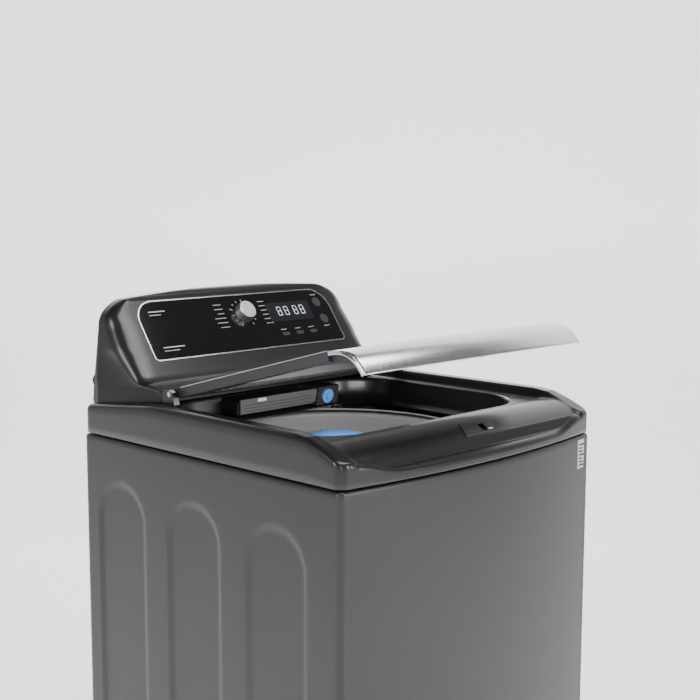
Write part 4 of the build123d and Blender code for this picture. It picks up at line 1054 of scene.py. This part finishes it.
# ---- basket -------------------------------------------------------------------------------------
def basket():
    """The steel basket, punched with rows of holes, with pressed ribs between them."""
    sized = sizes()
    turns, rows = sized.hole_turns, sized.hole_rows
    radius = DRUM_HIGH.x - 0.0009
    low, high = DRUM_LOW.z + 0.034, DRUM_HIGH.z - 0.012
    height = (high - low) / rows
    width = 2 * math.pi * radius / turns
    hole = sized.hole / 2
    points, faces = [], []

    def ring_point(along, z):
        angle = along / radius
        pressed = 0.0010 * (1 + math.cos(angle * 12)) if low < z < high else 0.0
        return ((radius - pressed) * math.cos(angle), TUB_Y + (radius - pressed) * math.sin(angle), z)

    for row in range(rows):
        for turn in range(turns):
            left = (turn + (0.5 if row % 2 else 0.0)) * width
            base = low + row * height
            start = len(points)
            for step in range(8):
                angle = math.pi / 4 * step
                side = Vector((math.cos(angle), math.sin(angle)))
                side /= max(abs(side.x), abs(side.y))
                along = left + width * (0.5 + 0.5 * side.x)
                points.append(ring_point(along, base + height * (0.5 + 0.5 * side.y)))
            for step in range(8):
                angle = math.pi / 4 * step
                along = left + width / 2 + hole * math.cos(angle)
                points.append(ring_point(along, base + height / 2 + hole * math.sin(angle)))
            for step in range(8):
                after = (step + 1) % 8
                faces.append((start + step, start + after, start + 8 + after, start + 8 + step))
    edge = turns * 4
    bands = (
        ((radius, high), (radius, high + 0.006), (radius - 0.0005, DRUM_HIGH.z)),
        ((0.030, DRUM_LOW.z + 0.001), (0.200, DRUM_LOW.z + 0.001), (0.240, DRUM_LOW.z + 0.004))
        + ((radius - 0.010, DRUM_LOW.z + 0.012), (radius - 0.001, DRUM_LOW.z + 0.026), (radius, low)),
    )
    for band in bands:
        start = len(points)
        for reach, z in band:
            for turn in range(edge):
                angle = 2 * math.pi * turn / edge
                points.append((reach * math.cos(angle), TUB_Y + reach * math.sin(angle), z))
        faces += [tuple(start + corner for corner in face) for face in grid_faces(len(band), edge)]
    made = piece("punched_basket", points, faces, "drum_steel", "basket", stands_for=("drum",))
    modifier(made, "SOLIDIFY", thickness=0.0008, offset=0.0)
    return made


def balance_ring():
    """The hollow ring on top of the basket, with a rolled lip and welded rib marks."""
    inner, outer = 0.2545, RING_HIGH.x
    low, high = RING_LOW.z, RING_HIGH.z
    profile = [
        (outer - 0.001, low),
        (outer - 0.0004, low + 0.003),
        (outer, high - 0.006),
        (outer - 0.002, high - 0.002),
        (outer - 0.006, high),
        (inner + 0.007, high),
        (inner + 0.002, high - 0.002),
        (inner, high - 0.006),
        (inner + 0.0012, high - 0.016),
        (inner + 0.0002, high - 0.019),
        (inner + 0.0012, high - 0.022),
        (inner + 0.0012, low + 0.010),
        (inner + 0.0002, low + 0.007),
        (inner + 0.001, low + 0.002),
        (inner + 0.003, low),
        (outer - 0.001, low),
    ]
    node = ("balance_ring",)
    made = lathe("ring_skin", profile, (0, TUB_Y), 144, "ring_plastic", "basket", stands_for=node)
    modifier(made, "WEIGHTED_NORMAL", keep_sharp=False)
    work = bmesh.new()
    for number in range(36):
        turn = Matrix.Translation((0, TUB_Y, 0)) @ Matrix.Rotation(2 * math.pi * number / 36, 4, "Z")
        block(work, (inner - 0.0003, -0.0012, low + 0.012), (inner + 0.0016, 0.0012, high - 0.024), turn)
    from_bmesh(work, "ring_ribs", "ring_plastic", "basket", smooth=False)


# ---- small detail -------------------------------------------------------------------------------
def dispenser_detail():
    """Black strips as painted shade for the grooves in the drawer's front, a pull in it, and the nozzle's
    rings.
    """
    work = bmesh.new()
    front = node_box("drawer_front")[0].y
    # black strips stand for the grooves: painted shade, no recess is cut
    for number in range(3):
        z = 0.8962 + number * 0.0062
        block(work, (-0.100, front - 0.0004, z), (0.084, front + 0.0004, z + 0.0011))
    from_bmesh(work, "drawer_groove_shade", "black_plastic", "drawer", smooth=False)
    knob = bmesh.new()
    outline = round_oblong(0.012, 0.0032, 0.003, centre=(-0.055, 0.9165))
    prism(knob, outline, 0, 0.0015, upright_front(front - 0.0014))
    crisp(from_bmesh(knob, "drawer_pull", "white_plastic", "drawer"), 0.0005)
    spot = Vector((0.130, 0.1686, 0.903))
    tilt = Matrix.Translation(spot) @ Matrix.Rotation(math.radians(90 + 9), 4, "X")
    rings = bmesh.new()
    turns = 40
    section = ((-0.0008, -0.001), (-0.0008, 0.0010), (0.0, 0.0015), (0.0008, 0.0010), (0.0008, -0.001))
    for reach in (0.0132, 0.0096, 0.0062, 0.0030):
        loops = []
        for across, rise in section:
            loop = []
            for turn in range(turns):
                angle = 2 * math.pi * turn / turns
                at = Vector(((reach + across) * math.cos(angle), (reach + across) * math.sin(angle), rise))
                loop.append(rings.verts.new(tilt @ at))
            loops.append(loop)
        for near, far in zip(loops, loops[1:]):
            for turn in range(turns):
                after = (turn + 1) % turns
                rings.faces.new((near[turn], near[after], far[after], far[turn]))
    from_bmesh(rings, "nozzle_rings", "blue_plastic", "cabinet")


def upright_front(y):
    """Place that stands a flat outline up, facing the front, at depth y."""
    return Matrix(((1, 0, 0, 0), (0, 0, 1, y), (0, 1, 0, 0), (0, 0, 0, 1)))


def front_detail():
    """A plain data label near the front's right edge and a light in the lock plate."""
    work = bmesh.new()
    marks = bmesh.new()
    low_x, high_x = 0.294, 0.320
    low_z, high_z = 0.801, 0.856
    for number in range(8):
        left = low_x + (high_x - low_x) * number / 8
        right = low_x + (high_x - low_x) * (number + 1) / 8
        corners = ((left, low_z), (right, low_z), (right, high_z), (left, high_z))
        work.faces.new([work.verts.new((x, max(front_line(x) - 0.0002, FRONT), z)) for x, z in corners])
    for row in range(7):
        z = 0.806 + row * 0.0066
        y = front_line(0.302) - 0.0009
        block(marks, (0.298, y, z), (0.316 - 0.004 * (row % 3), y + 0.0030, z + 0.0024))
    label = from_bmesh(work, "front_label", "pale_print", "cabinet", smooth=False)
    modifier(label, "SOLIDIFY", thickness=0.0001, offset=-1.0)
    from_bmesh(marks, "label_bars", "black_plastic", "cabinet", smooth=False)
    light = bmesh.new()
    block(light, (0.040, -0.3210, 0.9095), (0.052, -0.3175, 0.9125))
    from_bmesh(light, "lock_light", "pale_print", "cabinet", smooth=False)


def rear_detail():
    """A column of louvres on the rear panel."""
    work = bmesh.new()
    back = node_box("rear_panel")[1].y
    for number in range(8):
        z = 0.300 + number * 0.016
        outline = round_oblong(0.060, 0.004, 0.0038, centre=(0.0, z))
        prism(work, outline, 0.0, 0.0006, upright_front(back - 0.0002))
    crisp(from_bmesh(work, "rear_louvres", "zinc_steel", "cabinet"), 0.0002, 1)


# ---- engineering nodes --------------------------------------------------------------------------
NODE_FINISHES = {
    "cabinet_shell": "cabinet_paint",
    "rear_panel": "zinc_steel",
    "base_frame": "zinc_steel",
    "levelling_feet": "rubber",
    "corner_braces": "zinc_steel",
    "suspension_rods": "shaft_steel",
    "drain_spigot": "black_plastic",
    "cord_gland": "black_plastic",
    "inlet_valve": "white_plastic",
    "inlet_connectors": "black_plastic",
    "top_cover": "cover_plastic",
    "lock_plate": "black_plastic",
    "lid_lock_housing": "black_plastic",
    "hinge_brackets": "cover_plastic",
    "hinge_pins": "shaft_steel",
    "lid_dampers": "black_plastic",
    "dispenser_housing": "dark_plastic",
    "nozzle_housing": "dark_plastic",
    "spray_nozzle": "blue_plastic",
    "console_housing": "cover_plastic",
    "console_fascia": "gloss_black",
    "fascia_trim": "silver_trim",
    "display_window": "display_glass",
    "control_board": "board",
    "console_rear_cover": "dark_plastic",
    "rear_screws": "shaft_steel",
    "lid_frame": "black_plastic",
    "lid_glass": "lid_glass",
    "lid_handle": "silver_trim",
    "handle_end_caps": "silver_trim",
    "lid_bumpers": "rubber",
    "lid_striker": "black_plastic",
    "detergent_drawer": "grey_plastic",
    "drawer_front": "grey_plastic",
    "cycle_dial": "dial_metal",
    "power_button": "key_plastic",
    "start_button": "key_plastic",
    "option_button_1": "key_plastic",
    "option_button_2": "key_plastic",
    "option_button_3": "key_plastic",
    "lock_bolt": "white_plastic",
    "outer_tub": "tub_plastic",
    "spring_cups": "white_plastic",
    "tub_cover_ring": "ring_plastic",
    "bearing_housing": "cast_alloy",
    "bearings": "shaft_steel",
    "tub_seal": "rubber",
    "stator": "winding",
    "drain_pump": "white_plastic",
    "suspension_springs": "shaft_steel",
    "drum": "drum_steel",
    "balance_ring": "ring_plastic",
    "drum_hub": "cast_alloy",
    "spin_tube": "shaft_steel",
    "agitator": "agitator_plastic",
    "agitator_cap": "blue_plastic",
    "drive_shaft": "shaft_steel",
    "rotor": "zinc_steel",
    "clutch_slider": "white_plastic",
    "pump_impeller": "white_plastic",
}


def finish_nodes():
    """Gives every engineering node its finish."""
    for node, finish_name in NODE_FINISHES.items():
        made = frame["nodes"][node]
        made.data.materials.clear()
        made.data.materials.append(finish(finish_name))


# ---- stage --------------------------------------------------------------------------------------
CAMERA_TURN = 0.787
CAMERA_DIP = 0.127
CAMERA_SPOT = (-1.6725, -1.6235, 1.3223)


def studio_floor():
    """A pale floor curving up to a wall behind the machine."""
    work = bmesh.new()
    reach, sweep = 2.2, 1.2
    profile = [(-6.0, 0.0), (reach, 0.0)]
    profile += [
        (reach + sweep * math.sin(turn * math.pi / 24), sweep - sweep * math.cos(turn * math.pi / 24))
        for turn in range(1, 13)
    ]
    profile.append((3.4, 5.0))
    facing = Matrix.Rotation(-CAMERA_TURN, 4, "Z")
    columns = [[work.verts.new(facing @ Vector((x, y, z))) for y, z in profile] for x in (-7.0, 7.0)]
    for spot in range(len(profile) - 1):
        work.faces.new((columns[0][spot], columns[1][spot], columns[1][spot + 1], columns[0][spot + 1]))
    mesh = bpy.data.meshes.new("studio_floor")
    work.to_mesh(mesh)
    work.free()
    floor = bpy.data.objects.new("studio_floor", mesh)
    bpy.context.scene.collection.objects.link(floor)
    mesh.materials.append(finish("floor"))
    for polygon in mesh.polygons:
        polygon.use_smooth = True


def soft_light(name, spot, target, size, power, height):
    """One rectangular lamp looking at a target."""
    lamp = bpy.data.lights.new(name, "AREA")
    lamp.shape = "RECTANGLE"
    lamp.size = size
    lamp.size_y = height
    lamp.energy = power
    made = bpy.data.objects.new(name, lamp)
    bpy.context.scene.collection.objects.link(made)
    aim = (Vector(target) - Vector(spot)).to_track_quat("-Z", "Y")
    made.matrix_world = Matrix.Translation(spot) @ aim.to_matrix().to_4x4()


def studio_world():
    """A sky that is pale below and dark above, for the reflections."""
    world = bpy.data.worlds.new("studio")
    world.use_nodes = True
    sky = world.node_tree
    background = sky.nodes["Background"]
    background.inputs["Strength"].default_value = 0.85
    ramp = sky.nodes.new("ShaderNodeValToRGB")
    Finish.set_stops(ramp.color_ramp, [(0.0, 0.62), (0.18, 0.55), (0.45, 0.16), (1.0, 0.06)])
    parts = sky.nodes.new("ShaderNodeSeparateXYZ")
    sky.links.new(sky.nodes.new("ShaderNodeTexCoord").outputs["Generated"], parts.inputs[0])
    sky.links.new(parts.outputs["Z"], ramp.inputs[0])
    sky.links.new(ramp.outputs[0], background.inputs["Color"])
    bpy.context.scene.world = world


def viewpoint():
    """The camera, off the machine's front left corner and a little above its lid."""
    camera = bpy.data.cameras.new("camera")
    camera.lens = 63.7
    camera.shift_x = 0.0357
    camera.clip_end = 30
    viewer = bpy.data.objects.new("camera", camera)
    bpy.context.scene.collection.objects.link(viewer)
    aim = Matrix.Rotation(-CAMERA_TURN, 4, "Z") @ Matrix.Rotation(math.pi / 2 - CAMERA_DIP, 4, "X")
    viewer.matrix_world = Matrix.Translation(CAMERA_SPOT) @ aim
    bpy.context.scene.camera = viewer


def stage():
    """The floor, the soft lights, the world and the camera."""
    studio_floor()
    soft_light("key_light", (-2.9, 0.2, 1.9), (0, 0, 0.75), 0.7, 46, 1.8)
    soft_light("front_light", (0.9, -3.2, 1.7), (0, 0, 0.75), 0.9, 60, 1.8)
    soft_light("top_light", (0.2, -0.9, 3.0), (0, 0, 0.9), 2.2, 46, 0.7)
    soft_light("corner_light", (-2.3, -2.6, 1.5), (-0.3, -0.3, 0.7), 0.35, 16, 2.0)
    soft_light("rear_light", (1.6, 2.4, 2.4), (0, 0, 0.9), 1.2, 26, 1.2)
    soft_light("well_light", (-0.02, -0.16, 0.99), (0.05, 0.16, 0.86), 0.30, 1.1, 0.08)
    studio_world()
    viewpoint()


# ---- operators ----------------------------------------------------------------------------------
class WASHER_OT_cabinet(bpy.types.Operator):
    """Build the cabinet's wrapped sheet with its pressed arches"""

    bl_idname = "washer.cabinet"
    bl_label = "Cabinet"

    def execute(self, context):
        cabinet()
        return {"FINISHED"}


class WASHER_OT_top_cover(bpy.types.Operator):
    """Build the top cover with its landing and well"""

    bl_idname = "washer.top_cover"
    bl_label = "Top Cover"

    def execute(self, context):
        top_cover()
        return {"FINISHED"}


class WASHER_OT_console(bpy.types.Operator):
    """Build the console's shell and the marks on its panel"""

    bl_idname = "washer.console"
    bl_label = "Console"

    def execute(self, context):
        console()
        panel_marks()
        return {"FINISHED"}


class WASHER_OT_lid(bpy.types.Operator):
    """Build the lid's handle, edge lines and ribs"""

    bl_idname = "washer.lid"
    bl_label = "Lid"

    def execute(self, context):
        handle()
        lid_underside()
        return {"FINISHED"}


class WASHER_OT_basket(bpy.types.Operator):
    """Build the punched basket and its balance ring"""

    bl_idname = "washer.basket"
    bl_label = "Basket"

    def execute(self, context):
        basket()
        balance_ring()
        return {"FINISHED"}


class WASHER_OT_details(bpy.types.Operator):
    """Build the drawer, nozzle, label and rear details"""

    bl_idname = "washer.details"
    bl_label = "Small Details"

    def execute(self, context):
        dispenser_detail()
        front_detail()
        rear_detail()
        return {"FINISHED"}


class WASHER_OT_finish_nodes(bpy.types.Operator):
    """Give every engineering node its finish"""

    bl_idname = "washer.finish_nodes"
    bl_label = "Finish Engineering Nodes"

    def execute(self, context):
        finish_nodes()
        return {"FINISHED"}


class WASHER_OT_stage(bpy.types.Operator):
    """Set the floor, lights and camera"""

    bl_idname = "washer.stage"
    bl_label = "Stage and Camera"

    def execute(self, context):
        stage()
        return {"FINISHED"}


OPERATORS = (
    WASHER_OT_finish_nodes,
    WASHER_OT_cabinet,
    WASHER_OT_top_cover,
    WASHER_OT_console,
    WASHER_OT_lid,
    WASHER_OT_basket,
    WASHER_OT_details,
    WASHER_OT_stage,
)


class WASHER_PT_panel(bpy.types.Panel):
    """The builder's panel in the sidebar"""

    bl_label = "Top Load Washer"
    bl_idname = "WASHER_PT_panel"
    bl_space_type = "VIEW_3D"
    bl_region_type = "UI"
    bl_category = "Washer"

    def draw(self, context):
        for group in (context.scene.washer_sizes, context.scene.washer_colours):
            box = self.layout.box()
            for setting in group.bl_rna.properties.keys():
                if setting not in ("rna_type", "name"):
                    box.prop(group, setting)
        for operator in OPERATORS:
            self.layout.operator(operator.bl_idname)


CLASSES = (WasherSizes, WasherColours, *OPERATORS, WASHER_PT_panel)


def register():
    for each in CLASSES:
        bpy.utils.register_class(each)
    bpy.types.Scene.washer_sizes = PointerProperty(type=WasherSizes)
    bpy.types.Scene.washer_colours = PointerProperty(type=WasherColours)


def unregister():
    del bpy.types.Scene.washer_colours
    del bpy.types.Scene.washer_sizes
    for each in reversed(CLASSES):
        bpy.utils.unregister_class(each)


def main():
    """Registers the add-on and runs its operators in order."""
    register()
    for operator in OPERATORS:
        group, name = operator.bl_idname.split(".")
        getattr(getattr(bpy.ops, group), name)()


if __name__ == "__main__":
    main()
